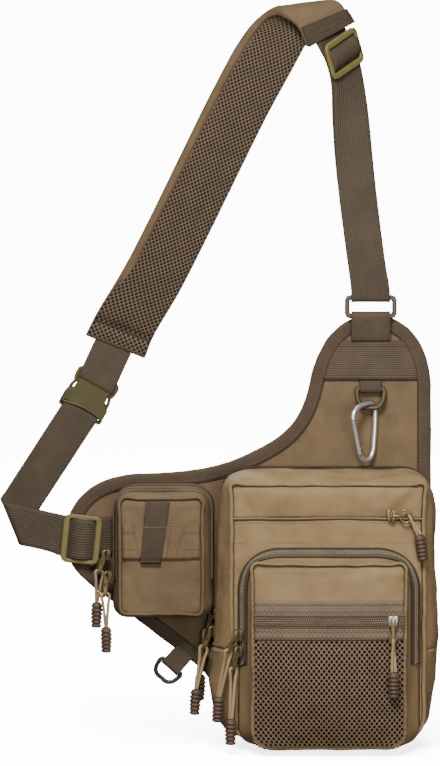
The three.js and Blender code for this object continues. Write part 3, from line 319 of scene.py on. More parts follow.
# Copy of a CAD solid with its edges rounded
def roundedCopy(node, look, width):
    flattest, sharpest = math.radians(1), math.radians(22)
    bm = copyOf(node)
    bmesh.ops.dissolve_limit(bm, angle_limit=flattest, verts=bm.verts, edges=bm.edges)
    roundEdges(bm, [edge for edge in bm.edges if edge.is_manifold and edge.calc_face_angle() > sharpest], width)
    return meshPiece(node + "_dressed", bm, look, node, flat=38)


# Moulded plate: an outline thickened both ways, with rounded edges
def platePiece(name, node, outline, thick, edge, look, place):
    bm = bmesh.new()
    face = bm.faces.new([bm.verts.new((x * mm, y * mm, -thick / 2 * mm)) for x, y in outline])
    grown = bmesh.ops.extrude_face_region(bm, geom=[face])
    top = [item for item in grown["geom"] if isinstance(item, bmesh.types.BMVert)]
    bmesh.ops.translate(bm, vec=(0, 0, thick * mm), verts=top)
    bmesh.ops.recalc_face_normals(bm, faces=bm.faces)
    roundEdges(bm, bm.edges[:], edge)
    bmesh.ops.transform(bm, matrix=place, verts=bm.verts)
    return meshPiece(name, bm, look, node, flat=50)


# Round rope of cloth or wire along points, as a curve
def ropePiece(name, points, radius, look, node=None, body="bag", closed=False, sides=3):
    data = bpy.data.curves.new(name, "CURVE")
    data.dimensions = "3D"
    data.bevel_depth = radius * mm
    data.bevel_resolution = sides
    data.resolution_u = 6
    data.use_fill_caps = not closed
    spline = data.splines.new("BEZIER")
    spline.bezier_points.add(len(points) - 1)
    for knot, point in zip(spline.bezier_points, points):
        knot.co = point * mm
        knot.handle_left_type = knot.handle_right_type = "AUTO"
    spline.use_cyclic_u = closed
    return dress(bpy.data.objects.new(name, data), look, node, body)


# Points at equal steps along a line of points
def stepped(line, step):
    points, left = [], 0.0
    for a, b in zip(line, line[1:]):
        length = (b - a).length
        while left < length:
            points.append((a.lerp(b, left / length), (b - a).normalized()))
            left += step
        left -= length
    return points


def addLozenge(bm, centre, turn, halves):
    place = Matrix.Translation(centre * mm) @ turn.to_4x4() @ Matrix.Diagonal((*halves, 1))
    bmesh.ops.create_icosphere(bm, subdivisions=1, radius=mm, matrix=place)


# Sewn row: a small lozenge of thread every step along each line; lines lie on the cloth's face
def stitchPiece(name, lines, look="thread", step=3.2, long=2.3, wide=0.75):
    bm = bmesh.new()
    for line in lines:
        for point, run in stepped(line, step):
            addLozenge(bm, point, run.to_track_quat("X", "Z").to_matrix(), (long / 2, wide / 2, wide / 2))
    return meshPiece(name, bm, look)


# Coil of a zip: two rows of slim teeth side by side between two lines of points
def coilPiece(name, nearLine, farLine, look="coil", tooth=3.2, offset=1.45):
    pitch = 1.7
    bm = bmesh.new()
    count = round(runLengths(nearLine)[-1] / (pitch / 2))
    for k in range(count):
        low, part = divmod(k / count * (len(nearLine) - 1), 1)
        low = int(low)
        near, far = (line[low].lerp(line[low + 1], part) for line in (nearLine, farLine))
        across = (far - near).normalized()
        run = nearLine[low + 1] - nearLine[low]
        run = (run - across * run.dot(across)).normalized()
        turn = Matrix((across, run, across.cross(run))).transposed()
        centre = near.lerp(far, 0.5) + across * (offset if k % 2 else -offset)
        addLozenge(bm, centre, turn, (tooth / 2, pitch * 0.36, 0.75))
    return meshPiece(name, bm, look)


# Zip pulls: cord, grip, slider and puller; leans are from the vertical, in degrees

pulls = [
    {"slider": (-182.9, -14, -515.7), "facing": -70, "lean": -18, "cordLean": -5, "cord": 30, "gripY": -14},
    {"slider": (-181.5, -24, -535), "facing": -70, "lean": -3, "cordLean": 1, "cord": 32, "gripY": -25},
    {"slider": (-81.2, -5.1, -574), "facing": -75, "lean": -14, "cordLean": -9, "cord": 43, "gripY": -6.5},
    {"slider": (-81.8, -12.4, -589.6), "facing": -75, "lean": -24, "cordLean": -11, "cord": 40, "gripY": -22},
    {"slider": (-57.6, -70.2, -584), "facing": -55, "lean": -28, "cordLean": -12, "cord": 46, "gripY": -66},
    {"slider": (-57.6, -70.2, -599.4), "facing": -55, "lean": -12, "cordLean": -3, "cord": 48, "gripY": -76},
    {"slider": (86, -62.4, -470.5), "facing": 0, "lean": 88, "cordLean": 28, "cord": 20, "gripY": -67},
    {"slider": (87.4, -97.8, -566.4), "facing": 0, "lean": 0, "cordLean": 1, "cord": 31, "gripY": -103.5},
]
cordSize = {"thick": 3, "reach": 17, "lift": 2.6, "end": 0.4, "apart": 1.65,
            "route": ((0, 0, -0.4), (3.5, 0, 0.6), (3.7, 0, 4.4), (2.8, 0.3, 8), (1.9, 0.9, 14))}
gripSize = {"long": 25, "sag": 2, "ridges": 6, "top": 4.3, "ridge": 5.6, "groove": 4.5, "sides": 20}
sliderSize = {"thick": 4, "edge": 0.9, "bridge": 1.05,
              "outline": ((-4.5, 5), (4.5, 5), (4.5, 1), (3.2, -5.5), (-3.2, -5.5), (-4.5, 1)),
              "arch": ((3.9, 1.6), (3.2, 3.9), (0, 5), (-3.2, 3.9), (-4.2, 1.6))}
pullerSize = {"thick": 1.8, "eye": 2.15, "eyeSides": 18,
              "half": ((0.9, 2.6), (2.3, 1.9), (2.7, -1), (2, -5), (2, -10), (2.9, -14), (3.3, -17), (2.2, -19.4),
                       (0.8, -20.4))}
wireRing = {"radius": 5.9, "away": 13.8, "wire": 0.95, "link": 1.0}


def gripPiece(name, node, place):
    bm = bmesh.new()
    count, long, top, ridge, groove = (gripSize[key] for key in ("ridges", "long", "top", "ridge", "groove"))
    pitch = long / (count + 0.6)
    profile = [(0, 0), (top * 0.7, 0), (top, -0.7)]
    for k in range(count):
        swell = 0.88 + 0.12 * math.sin(math.pi * min((k + 1.2) / count, 1))
        for share, radius in ((0.02, groove), (0.14, ridge), (0.72, ridge), (0.84, groove)):
            profile.append((radius * swell, -(0.5 + k + share) * pitch))
    profile += [(ridge * 0.7, -long + 0.7), (0, -long)]
    verts = [bm.verts.new((radius * mm, y * mm, 0)) for radius, y in profile]
    edges = [bm.edges.new(pair) for pair in zip(verts, verts[1:])]
    bmesh.ops.spin(bm, geom=verts + edges, cent=(0, 0, 0), axis=(0, 1, 0), angle=math.tau,
                   steps=gripSize["sides"], use_merge=True)
    bmesh.ops.remove_doubles(bm, verts=bm.verts, dist=mergeGap)
    bmesh.ops.recalc_face_normals(bm, faces=bm.faces)
    bmesh.ops.transform(bm, matrix=place, verts=bm.verts)
    return meshPiece(name, bm, "rubber", node)


# Flat puller with a waist and a round eye
def pullerPlate(name, place):
    half, eye, count = (pullerSize[key] for key in ("half", "eye", "eyeSides"))
    turns = [math.tau * (k + 0.5) / count for k in range(count)]
    hole = [(eye * math.sin(turn), eye * math.cos(turn) - cordSize["reach"]) for turn in turns]
    bm = bmesh.new()
    loops = []
    for outline in (half + tuple((-x, y) for x, y in half[::-1]), hole):
        verts = [bm.verts.new((x * mm, y * mm, 0)) for x, y in outline]
        loops += [bm.edges.new(pair) for pair in zip(verts, verts[1:] + verts[:1])]
    bmesh.ops.bridge_loops(bm, edges=loops)
    bmesh.ops.recalc_face_normals(bm, faces=bm.faces)
    bmesh.ops.solidify(bm, geom=bm.faces[:], thickness=pullerSize["thick"] * mm)
    bmesh.ops.translate(bm, vec=(0, 0, pullerSize["thick"] / 2 * mm), verts=bm.verts)
    bmesh.ops.transform(bm, matrix=place, verts=bm.verts)
    bmesh.ops.recalc_face_normals(bm, faces=bm.faces)
    return meshPiece(name, bm, "brass", flat=40)


# Ring of wire in place of a puller, and the link to its slider
def pullerRing(middle, hang, facing):
    radius, away = wireRing["radius"], wireRing["away"]
    turns = [math.tau * k / 16 for k in range(16)]
    ropePiece("slider_7_ring", [middle + hang * (radius * math.cos(turn)) + up * (radius * math.sin(turn))
                                for turn in turns], wireRing["wire"], "brass", closed=True)
    ropePiece("slider_7_link", [middle - hang * (away - k * 2.6) + facing * (0.9 * math.sin(math.pi * k / 4))
                                for k in range(5)], wireRing["link"], "brass")


def pullPieces(number, pull):
    turn, lean, cordLean = (math.radians(pull[key]) for key in ("facing", "lean", "cordLean"))
    facing = Vector((math.sin(turn), -math.cos(turn), 0))
    hang = Vector((math.sin(lean), 0, -math.cos(lean)))
    swing = (facing - hang * facing.dot(hang)).normalized()
    base = Vector(pull["slider"])
    root = base + facing * cordSize["lift"]
    eye = root + hang * cordSize["reach"]
    gripTop = eye + Vector((math.sin(cordLean), 0, -math.cos(cordLean))) * pull["cord"]
    gripTop.y = pull["gripY"]
    length = (gripTop - eye).length
    down = (gripTop - eye).normalized()
    out = (swing - down * swing.dot(down)).normalized()
    aside = down.cross(out)
    upward = -(down - up * gripSize["sag"]).normalized()
    gripAcross = (aside - upward * aside.dot(upward)).normalized()
    steps = [step for step in cordSize["route"] if step[2] < length - 3]
    strands = []
    for side in (-1, 1):
        strand = []
        for outward, sideward, fall in steps:
            drop, spread = (hang, swing) if fall < 2 else (down, out)
            strand.append(eye + drop * fall + spread * (side * outward) + aside * (side * sideward))
        strand.append(gripTop + upward * cordSize["end"] + gripAcross * (side * cordSize["apart"]))
        strands.append(strand)
    points = strands[0][::-1] + strands[1][1:]
    grip = gripPiece(f"grip_{number}", f"pull_grip_{number}", placing(gripTop, gripAcross, upward))
    rope = ropePiece(f"cord_{number}", points, cordSize["thick"] / 2, "cord", f"pull_cord_{number}")
    ropeLength = rope.data.splines[0].calc_length()
    metal = "nickel" if number == 8 else "brass"
    platePiece(f"slider_{number}", f"zip_slider_{number}", sliderSize["outline"], sliderSize["thick"],
               sliderSize["edge"], metal, placing(base, up.cross(facing), up))
    ropePiece(f"slider_bridge_{number}", [base + up * rise + facing * away for rise, away in sliderSize["arch"]],
              sliderSize["bridge"], metal)
    if number == 7:
        pullerRing(root + hang * wireRing["away"], hang, facing)
    else:
        pullerPlate(f"puller_{number}", placing(root, (-hang).cross(swing), -hang))
    return round(ropeLength / mm)


print("cords made, mm:", [pullPieces(number, pull) for number, pull in enumerate(pulls, 1)])


# Back panel, its binding and what is sewn to it

panelSize = {"cut": 9, "step": 5, "tape": 0.7, "middleY": 1.5}
panelCurves = [
    ((70, -289), (100, -289), (122, -316), (123, -356)),
    ((123, -356), (124, -500), (122, -655)),
    ((122, -655), (121, -680), (108, -692), (84, -692)),
    ((84, -692), (18, -694), (-42, -692)),
    ((-42, -692), (-68, -690), (-70, -646), (-99, -622)),
    ((-99, -622), (-143, -588), (-186, -556)),
    ((-186, -556), (-213, -536), (-222, -524), (-222, -504)),
    ((-222, -504), (-222, -470), (-200, -443), (-150, -441.5)),
    ((-150, -441.5), (-100, -440), (-72, -437), (-30, -413)),
    ((-30, -413), (-2, -397), (6, -375), (11, -352)),
    ((11, -352), (18, -318), (35, -289), (70, -289)),
]


# Points round the panel's edge, each with the way to the inside
def rimStations(step):
    line = []
    for curve in panelCurves:
        knots = [Vector((x, 0, z)) for x, z in curve]
        if len(knots) == 3:                            # one control point: raised to two
            start, middle, end = knots
            knots = [start, start.lerp(middle, 2 / 3), end.lerp(middle, 2 / 3), end]
        line += geometry.interpolate_bezier(*knots, 40)[:-1]
    line.append(line[0])
    return [(point, Vector((run.z, 0, -run.x))) for point, run in stepped(line, step)]


rim = rimStations(panelSize["step"])


def rimLine(inset, y):
    line = [point + inward * inset + Vector((0, y, 0)) for point, inward in rim]
    return line + line[:1]


def bindingPiece():
    section = [(11, -0.3), (10.7, -1.35), (9, -1.5), (4.5, -1.55), (1, -1.5), (-0.9, -0.9), (-1.5, 0.4),
               (-1.5, 2.6), (-0.9, 3.9), (1, 4.5), (4.5, 4.55), (9, 4.5), (10.7, 4.35), (11, 3.3)]
    last = len(section) - 1
    heights = runLengths([Vector(point) for point in section])

    def surface(u, v):
        point, inward = rim[round(u * len(rim)) % len(rim)]
        inset, y = section[round(v * last)]
        centre = point + inward * inset + Vector((0, y, 0))
        ripple = 0.35 * noise.noise(centre / 9) + 0.5 * noise.noise(centre / 30)
        outside = Vector((0, math.copysign(1, y - panelSize["middleY"]), 0)) if inset > 0 else -inward
        return centre + outside * ripple

    def measure(u, v):
        return u * len(rim) * panelSize["step"], heights[round(v * last)]

    def outward(point):
        nearest = min(rim, key=lambda station: (station[0] - point).length_squared)
        return point - (nearest[0] + nearest[1] * 4 + Vector((0, panelSize["middleY"], 0)))

    bm = clothGrid(len(rim), last, surface, measure, outward, closed=True)
    return meshPiece("panel_binding_tape", bm, "binding", "panel_binding", thick=panelSize["tape"])


bindingPiece()
stitchPiece("binding_stitches", [rimLine(8.6, -1.75), rimLine(8.6, 4.75)], "threadTaupe", 3.4, 2.2, 0.6)
# dark lines at the binding's inner edges: painted shade where the tape meets the panel
for side, y in (("front", -0.9), ("back", 3.9)):
    ropePiece(f"binding_seam_{side}", rimLine(11.2, y)[:-1], 0.6, "seamShadeLine", closed=True, sides=2)


# Box-like flat map from the direction that each face looks in
def boxMap(bm):
    flat = bm.loops.layers.uv.verify()
    for face in bm.faces:
        axis = max(range(3), key=lambda k: abs(face.normal[k]))
        first, second = [k for k in range(3) if k != axis]
        for loop in face.loops:
            loop[flat].uv = (loop.vert.co[first], loop.vert.co[second])


def backPanelPiece():
    bm = copyOf("back_panel")
    low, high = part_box("back_panel")
    for axis, away in ((0, right), (2, up)):           # cuts make a lattice that the foam can swell on
        for k in range(1, int((high[axis] - low[axis]) / (panelSize["cut"] * mm))):
            cutPlane(bm, away * (low[axis] + k * panelSize["cut"] * mm), away, mergeGap / 2)
    bm.normal_update()
    for vert in bm.verts:
        if abs(vert.normal.y) > 0.8:
            vert.co.y += wrinkle(vert.co / mm, 1, 0.2) * mm
    boxMap(bm)
    # the panel's cloth takes the canvas look painted darker as painted shade
    piece = meshPiece("back_panel_cloth", bm, "canvasPaintedShade", "back_panel")


backPanelPiece()
print("back panel made")


# Ribbons of webbing through stations of left edge, right edge and the way the face looks

def station(middle, across, half, facing):
    return [middle - across * half, middle + across * half, facing]


def smoothed(stations):
    for turn in range(2):
        finer = [stations[0]]
        for a, b in zip(stations, stations[1:]):
            finer += [[p.lerp(q, share) for p, q in zip(a, b)] for share in (0.25, 0.75)]
        stations = finer + [stations[-1]]
    return stations


def ribbonPiece(name, stations, node, look="webbing"):
    thick, columns = cloth["webbing"], 10
    rows = smoothed(stations)
    middles = [a.lerp(b, 0.5) for a, b, facing in rows]
    runs = runLengths(middles)
    width = (rows[0][1] - rows[0][0]).length
    last, half = len(rows) - 1, len(rows) // 2

    def surface(u, v):
        a, b, facing = rows[round(v * last)]
        edge = max(abs(u - 0.5) * 2 - 0.9, 0) / 0.1      # the woven edge is a little thinner
        point = a.lerp(b, u)
        rise = thick / 2 - 0.3 * edge + 0.12 * noise.noise(point / 12)
        return point + facing.normalized() * rise

    bm = clothGrid(columns, last, surface, lambda u, v: (u * width, runs[round(v * last)]))
    bm.normal_update()
    first = min(bm.faces, key=lambda face: (face.calc_center_median() / mm - middles[half]).length)
    if first.normal.dot(rows[half][2]) < 0:
        bmesh.ops.reverse_faces(bm, faces=bm.faces)
    return meshPiece(name, bm, look, node, thick=thick - 0.1)


def turned(stations):
    return [[a, b, -facing] for a, b, facing in stations]


# Points of an arc round a bar, between two angles in degrees
def bend(radius, start, end):
    turns = [math.radians(lerp(start, end, k / 6)) for k in range(7)]
    return [(radius * math.cos(turn), radius * math.sin(turn)) for turn in turns]


# Stations through points of a section in the plane of along and out
def route(points, centre, across, along, out, width):
    stations = []
    for k, (x, y) in enumerate(points):
        before, after = points[max(k - 1, 0)], points[min(k + 1, len(points) - 1)]
        run = (Vector(after) - Vector(before)).normalized()
        stations.append(station(centre + along * x + out * y, across, width / 2, along * -run.y + out * run.x))
    return stations


strap = {"half": cloth["strapWidth"] / 2, "layerBack": 4.6, "weaveWidth": cloth["strapWidth"] + 2.2}
weave = [(15.5, -3.4), (12, -3.4), (5, 3.4), (-5, 3.4), (-12, -3.4), (-16.5, -3.4)]
ring = {"centre": Vector((67, -6.8, -279)), "away": 9, "turn": 3.96}
# Middle of the strap, the way across it, and how far each of its two layers is from the middle
upperRows = [
    ((29.6, -2.4, -21.6), (0.72, 0.58, 0.38), 1.2),
    ((38, 1.2, -38), (0.68, 0.64, 0.36), 1.2),
    ((44.4, 6.6, -62.5), (0.72, 0.64, 0.25), 1.2),
    ((47.5, 5, -97), (0.9, 0.43, 0.02), 1.6),
    ((51.8, -1, -152), (0.99, 0.1, -0.12), 2),
    ((62, -5.8, -232), (0.992, 0, -0.13), 2.8),
    ((66.4, -6.8, -259), (1, 0, -0.03), 3.9),
]


def layerOf(rows, side):
    centres = [Vector(row[0]) for row in rows]
    stations = []
    for k, (at, across, spread) in enumerate(rows):
        across = Vector(across).normalized()
        run = centres[min(k + 1, len(rows) - 1)] - centres[max(k - 1, 0)]
        facing = run.cross(across).normalized()
        if facing.y > 0:
            facing.negate()
        stations.append(station(centres[k] + facing * (side * spread), across, strap["half"], facing))
    return stations


def upperStrap():
    across = Vector((0.626, 0.69, 0.36)).normalized()
    along = Vector((-0.262, -0.248, 0.93)).normalized()
    out = across.cross(along).normalized()
    glide = Vector(upperRows[1][0]) + out * strap["layerBack"]
    ringTop = ring["centre"] + up * ring["away"]
    padEnd = ((26.2, -4.4, -13.5), (0.72, 0.58, 0.38), 1.2)
    down = layerOf([padEnd] + upperRows, -1)
    ringTurn = turned(route(bend(ring["turn"], -90, -270), ringTop, right, up, front, cloth["strapWidth"]))
    rise = turned(layerOf(upperRows[2:], 1)[::-1])
    over = turned(route([(-x, y) for x, y in weave], glide, across, along, out, strap["weaveWidth"]))
    ribbonPiece("upper_strap", down + ringTurn + rise + over, "strap_webbing_upper")


upperStrap()

buckle = {"centre": Vector((-201.9, 8, -368.6)), "angle": 61, "lowBar": -14.4, "highBar": 17.4, "turn": 3.75,
          "thick": 4.6, "edge": 1.5, "armWire": 1.7, "lipWire": 1.3, "lipOut": 4.7,
          "half": ((20.4, 9), (21.6, 13), (22.4, 19), (21.4, 23.6), (17.5, 25.8)),
          "arm": ((16.5, 14), (18.8, 8), (20, 3), (19.2, -2), (16.5, -4)),
          "lip": ((-20.3, -12.6), (-14, -11.4), (-8, -10.2), (0, -9.3), (8, -9.4), (14, -9.9), (20.2, -11.8))}
buckleUp, buckleAcross = rightOf(buckle["angle"]), rightOf(buckle["angle"] - 90)
lower = {"start": Vector((-178.3, -4.1, -499)), "glide": Vector((-208, -4.1, -502)),
         "fold": Vector((-268.5, -4.1, -488.5)), "spread": 1.2, "radius": 4.7, "angle": 56.5, "share": 0.6}


def lowerStrap():
    run = (lower["fold"] - lower["glide"]).normalized()
    runAngle = math.degrees(math.atan2(run.z, run.x))
    creaseAngle = (runAngle + lower["angle"]) / 2
    crease, creaseOut = rightOf(creaseAngle), rightOf(creaseAngle + 90)
    slide = run.dot(crease) / run.dot(creaseOut) * lower["radius"]
    axis = lower["fold"] - front * lower["radius"]
    skewHalf = strap["half"] / abs(run.dot(creaseOut))

    def foldStations(radius):
        stations = []
        for k in range(7):
            turn = k / 6 * math.pi
            facing = front * math.cos(turn) + creaseOut * math.sin(turn)
            stations.append(station(axis + crease * (slide * turn) + facing * radius, -crease, skewHalf, facing))
        return stations

    def layer(side):
        out = side * lower["spread"]
        stations = []
        if side < 0:
            spots = [lower[key] + front * out for key in ("start", "glide")]
            stations += [station(spot, -up, strap["half"], front) for spot in spots]
        before = lower["glide"].lerp(lower["fold"], 0.45) + front * out
        stations.append(station(before, rightOf(runAngle + 90), strap["half"], front))
        return stations + foldStations(lower["radius"] + out)

    bar = buckle["centre"] + buckleUp * buckle["lowBar"]
    foldEnd = axis + crease * (slide * math.pi)

    def diagonal(side):
        middle = foldEnd.lerp(bar, lower["share"])
        atFold = axis.y + lower["radius"] + side * lower["spread"]
        middle.y = lerp(atFold, bar.y + side * buckle["turn"], lower["share"])
        return station(middle, rightOf(lower["angle"] - 90), strap["half"], -front)

    barTurn = route(bend(buckle["turn"], 90, -90), bar, buckleAcross, buckleUp, front, cloth["strapWidth"])
    glide = lower["glide"] + front * strap["layerBack"]
    over = route(weave, glide, -rightOf(84), rightOf(174), front, strap["weaveWidth"])
    back = turned(barTurn + [diagonal(1)] + layer(1)[::-1])
    stations = layer(-1) + [diagonal(-1)] + back + over
    ribbonPiece("lower_strap", stations, "strap_webbing_lower")


lowerStrap()
for node, look, width in (("tri_glide_upper", "olive", 0.9), ("tri_glide_lower", "olive", 0.9),
                          ("rect_ring", "bronze", 0.9), ("buckle_female", "oliveDark", 0.7)):
    roundedCopy(node, look, width)


# The half with the arms: a root round the webbing, two sprung arms in the other half's sides; and that half's lip
def buckleMale():
    def place(x, y):
        return buckle["centre"] + buckleAcross * x + buckleUp * y

    half = buckle["half"]
    platePiece("buckle_male_root", "buckle_male", half + tuple((-x, y) for x, y in half[::-1]), buckle["thick"],
               buckle["edge"], "oliveDark", placing(buckle["centre"], buckleAcross, buckleUp))
    for name, side in (("left", -1), ("right", 1)):
        arm = [place(side * x, y) for x, y in buckle["arm"]]
        ropePiece(f"buckle_arm_{name}", arm, buckle["armWire"], "oliveDark")
    lip = [place(x, y) + front * buckle["lipOut"] for x, y in buckle["lip"]]
    ropePiece("buckle_lip", lip, buckle["lipWire"], "oliveDark")


buckleMale()
print("straps made")


# Shoulder pad: canvas shell over foam, net lining, ribbed end band

# Left and right edge, and how full the foam is
padRows = [
    ((-203.9, 9, -307.9), (-147.3, 9, -330.3), 0.6),
    ((-193.8, 9, -288), (-138.7, 9, -309), 0.85),
    ((-163.4, 9, -236.3), (-111.8, 9, -262.2), 1),
    ((-82.7, 9, -72.7), (-31.1, 10, -98.6), 1),
    ((-58.9, 9, -29), (-8, 12, -56), 1),
    ((-44, 7, -9), (9, 15, -25), 1),
    ((-33, 1, -0.5), (24, 17, -1), 1),
    ((-25, -6, 2.5), (33, 14.5, 7.5), 1),
    ((-17, -12, -0.5), (38, 9, 7.5), 0.95),
    ((-3, -16, -11), (42, 7.5, 3.5), 0.75),
    ((6.2, -17, -30.2), (50.4, 10, -8.4), 0.55),
]
padSize = {"half": 28, "lip": -0.76, "steps": 160, "bandFrom": 0.912, "bandLong": 32, "open": (30, 110),
           "crease": 17, "dent": 4.8, "foam": -2.6}


# Curve through points with knots spaced by the root of their distance, as the CAD has it
def throughPoints(points, share):
    count = len(points) - 1
    k = min(int(share * count), count - 1)
    s = share * count - k
    p1, p2 = points[k], points[k + 1]
    p0 = points[k - 1] if k > 0 else p1 * 2 - p2
    p3 = points[k + 2] if k + 2 <= count else p2 * 2 - p1
    d0, d1, d2 = ((b - a).length ** 0.5 for a, b in ((p0, p1), (p1, p2), (p2, p3)))
    t1 = ((p1 - p0) / d0 - (p2 - p0) / (d0 + d1) + (p2 - p1) / d1) * d1
    t2 = ((p2 - p1) / d1 - (p3 - p1) / (d1 + d2) + (p3 - p2) / d2) * d1
    c = s * s
    return p1 * (2 * c * s - 3 * c + 1) + t1 * (c * s - 2 * c + s) + p2 * (3 * c - 2 * c * s) + t2 * (c * s - c)


padLeft, padRight = [Vector(row[0]) for row in padRows], [Vector(row[1]) for row in padRows]


def padStation(share):
    left, right = throughPoints(padLeft, share), throughPoints(padRight, share)
    near, far = max(share - 0.004, 0), min(share + 0.004, 1)
    ahead, behind = (throughPoints(padLeft, at) + throughPoints(padRight, at) for at in (far, near))
    facing = (ahead - behind).cross(right - left).normalized()
    row = min(share * (len(padRows) - 1), len(padRows) - 1.001)
    puff = lerp(padRows[int(row)][2], padRows[int(row) + 1][2], row % 1)
    return left, right, facing, puff


padStations = [padStation(k / padSize["steps"]) for k in range(padSize["steps"] + 1)]
padRuns = runLengths([(left + right) / 2 for left, right, facing, puff in padStations])


def padPoint(share, across, out):
    low, part = divmod(min(max(share, 0), 0.9999) * padSize["steps"], 1)
    spots = [left.lerp(right, (across + 1) / 2) + facing * (out * puff)
             for left, right, facing, puff in padStations[int(low):int(low) + 2]]
    return spots[0].lerp(spots[1], part)


def padDent(run):
    return padSize["dent"] * math.exp(-((run - padSize["crease"]) / 4) ** 2)


def padShell():
    section = [(-1, 3), (-0.86, 5), (-0.76, 5), (0.12, 5), (0.86, 5), (1, 2.6), (1, -2.2), (0.86, -2.6),
               (0.12, -2.6), (-0.72, -2.6), (-0.77, -5), (-0.88, -5.2), (-1, -3.6)]
    loop = [Vector(point) for point in section]
    for turn in range(2):
        loop = [a.lerp(b, share) for a, b in zip(loop, loop[1:] + loop[:1]) for share in (0.25, 0.75)]
    loop.append(loop[0])
    last = len(loop) - 1
    reach = runLengths([Vector((across * padSize["half"], out)) for across, out in loop])

    def surface(u, v):
        across, out = loop[round(u * last)]
        row = round(v * padSize["steps"])
        if out < padSize["foam"]:                      # the lip runs out under the net near the buckle
            out = lerp(padSize["foam"], out, smoothstep(padRuns[row], *padSize["open"]))
        if out < 0:
            out = min(out + padDent(padRuns[row]), -0.4)
        point = padPoint(v, across, out)
        return point + padStations[row][2] * (wrinkle(point, 0.5, 0.35) * math.copysign(1, out))

    def outward(point):
        nearest = min(padStations[::5], key=lambda s: ((s[0] + s[1]) / 2 - point).length_squared)
        return point - (nearest[0] + nearest[1]) / 2

    def measure(u, v):
        return reach[round(u * last)], padRuns[round(v * padSize["steps"])]

    bm = clothGrid(last, padSize["steps"], surface, measure, outward, closed=True)
    bmesh.ops.holes_fill(bm, edges=[edge for edge in bm.edges if edge.is_boundary], sides=0)
    # the pad's shell takes the canvas look painted darker as painted shade
    piece = meshPiece("pad_shell_cloth", bm, "canvasPadPaintedShade", "pad_shell")


padShell()


# Knitted net: slanted lattice trimmed to a window in mm, holes opened in its cells, laid on a surface(x, y)
def netPiece(name, width, height, surface, node, look="net", pitch=3.75, strand=0.6):
    thick, stretch = 0.9, (0.9, 1.13, 1)
    bm = bmesh.new()
    cells = math.ceil((width + height) * 1.15 / pitch)
    bmesh.ops.create_grid(bm, x_segments=cells, y_segments=cells, size=cells * pitch / 2)
    bmesh.ops.rotate(bm, cent=(0, 0, 0), matrix=Matrix.Rotation(math.pi / 4, 3, "Z"), verts=bm.verts)
    bmesh.ops.scale(bm, vec=stretch, verts=bm.verts)
    bmesh.ops.translate(bm, vec=(width / 2, height / 2, 0), verts=bm.verts)
    for spot, away in (((0, 0, 0), (-1, 0, 0)), ((width, 0, 0), (1, 0, 0)),
                       ((0, 0, 0), (0, -1, 0)), ((0, height, 0), (0, 1, 0))):
        cutPlane(bm, spot, away, 0.001, True)
    whole = [face for face in bm.faces if face.calc_area() > 0.55 * pitch * pitch]
    bmesh.ops.inset_individual(bm, faces=whole, thickness=strand / 2, use_even_offset=True)
    bmesh.ops.delete(bm, geom=whole, context="FACES")
    for vert in bm.verts:
        vert.co = surface(vert.co.x, vert.co.y) * mm
    bm.normal_update()
    return meshPiece(name, bm, look, node, thick=thick, rounds=1)


def padNet():
    lip, edge, end = padSize["lip"] + 0.03, 0.97, 0.985
    width, length = (edge - lip) * padSize["half"], padRuns[-1] * end

    def shareOf(run):
        k = next((k for k, value in enumerate(padRuns) if value > run), len(padRuns) - 1)
        return (k - 1 + (run - padRuns[k - 1]) / (padRuns[k] - padRuns[k - 1])) / padSize["steps"]

    def place(x, y, out):
        left = lerp(-edge, lip, smoothstep(y, *padSize["open"]))
        return padPoint(shareOf(min(max(y, 0.01), length)), lerp(left, edge, x / width), out)

    def crown(x, y):
        swell = 1.7 * math.sin(math.pi * min(max(x / width, 0), 1)) ** 0.6 * lerp(0.4, 1.3, smoothstep(y, 12, 30))
        return min(-3.6 - swell + padDent(y), -1.4)

    netPiece("pad_net", width, length, lambda x, y: place(x, y, crown(x, y)), "pad_mesh", "netDark", 3.2, 0.5)
    # behind the pad's net, a near-black sheet: partly backing, partly painted shade
    bm = clothGrid(14, 240, lambda u, v: place(u * width, v * length, crown(u * width, v * length) + 0.75),
                   flatMap(width, length))
    meshPiece("pad_net_lining", bm, "lining")
    crease, columns = padSize["crease"], [k / 20 * width for k in range(21)]
    # a dark line along the pad's crease: painted shade of the fold
    sewn = [place(x, crease + wrinkle(Vector((k * 3, 0, 0)), 1.2, 0.8), crown(x, crease))
            for k, x in enumerate(columns)]
    ropePiece("pad_crease_shade_line", sewn, 0.8, "seamShadeLine")
    hem = [place(x, 0.8, crown(x, 0.8) + 1.2) for x in columns]
    ropePiece("pad_hem", [point + front * wrinkle(point, 0.2, 0.5) for point in hem], 1.2, "binding")
    # dark lines along the net's sides: painted shade where net and shell meet
    for side, x in (("left", 0.4), ("right", width - 0.4)):
        line = [place(x, lerp(30, length - 12, k / 120), crown(x, 60) + 0.9) for k in range(0, 121, 3)]
        ropePiece(f"pad_net_seam_{side}", line, 0.75, "seamShadeLine", sides=2)


padNet()


def padBand():
    seat, ribs, high = 5.6 + cloth["webbing"], 9, 0.6

    def surface(u, v):
        rise = seat + high * math.sin(v * math.tau * ribs)
        return padPoint(lerp(padSize["bandFrom"], 1, v), lerp(-0.98, 0.98, u), rise)

    facing = padStations[round(0.97 * padSize["steps"])][2]
    bm = clothGrid(14, 90, surface, flatMap(2 * padSize["half"], padSize["bandLong"]), lambda point: facing)
    meshPiece("pad_end_webbing", bm, "webbing", "pad_end_band", thick=1.5)


padBand()
print("pad made")


# Pouches between a back and a front outline; a share runs from the bottom's middle up the left and round

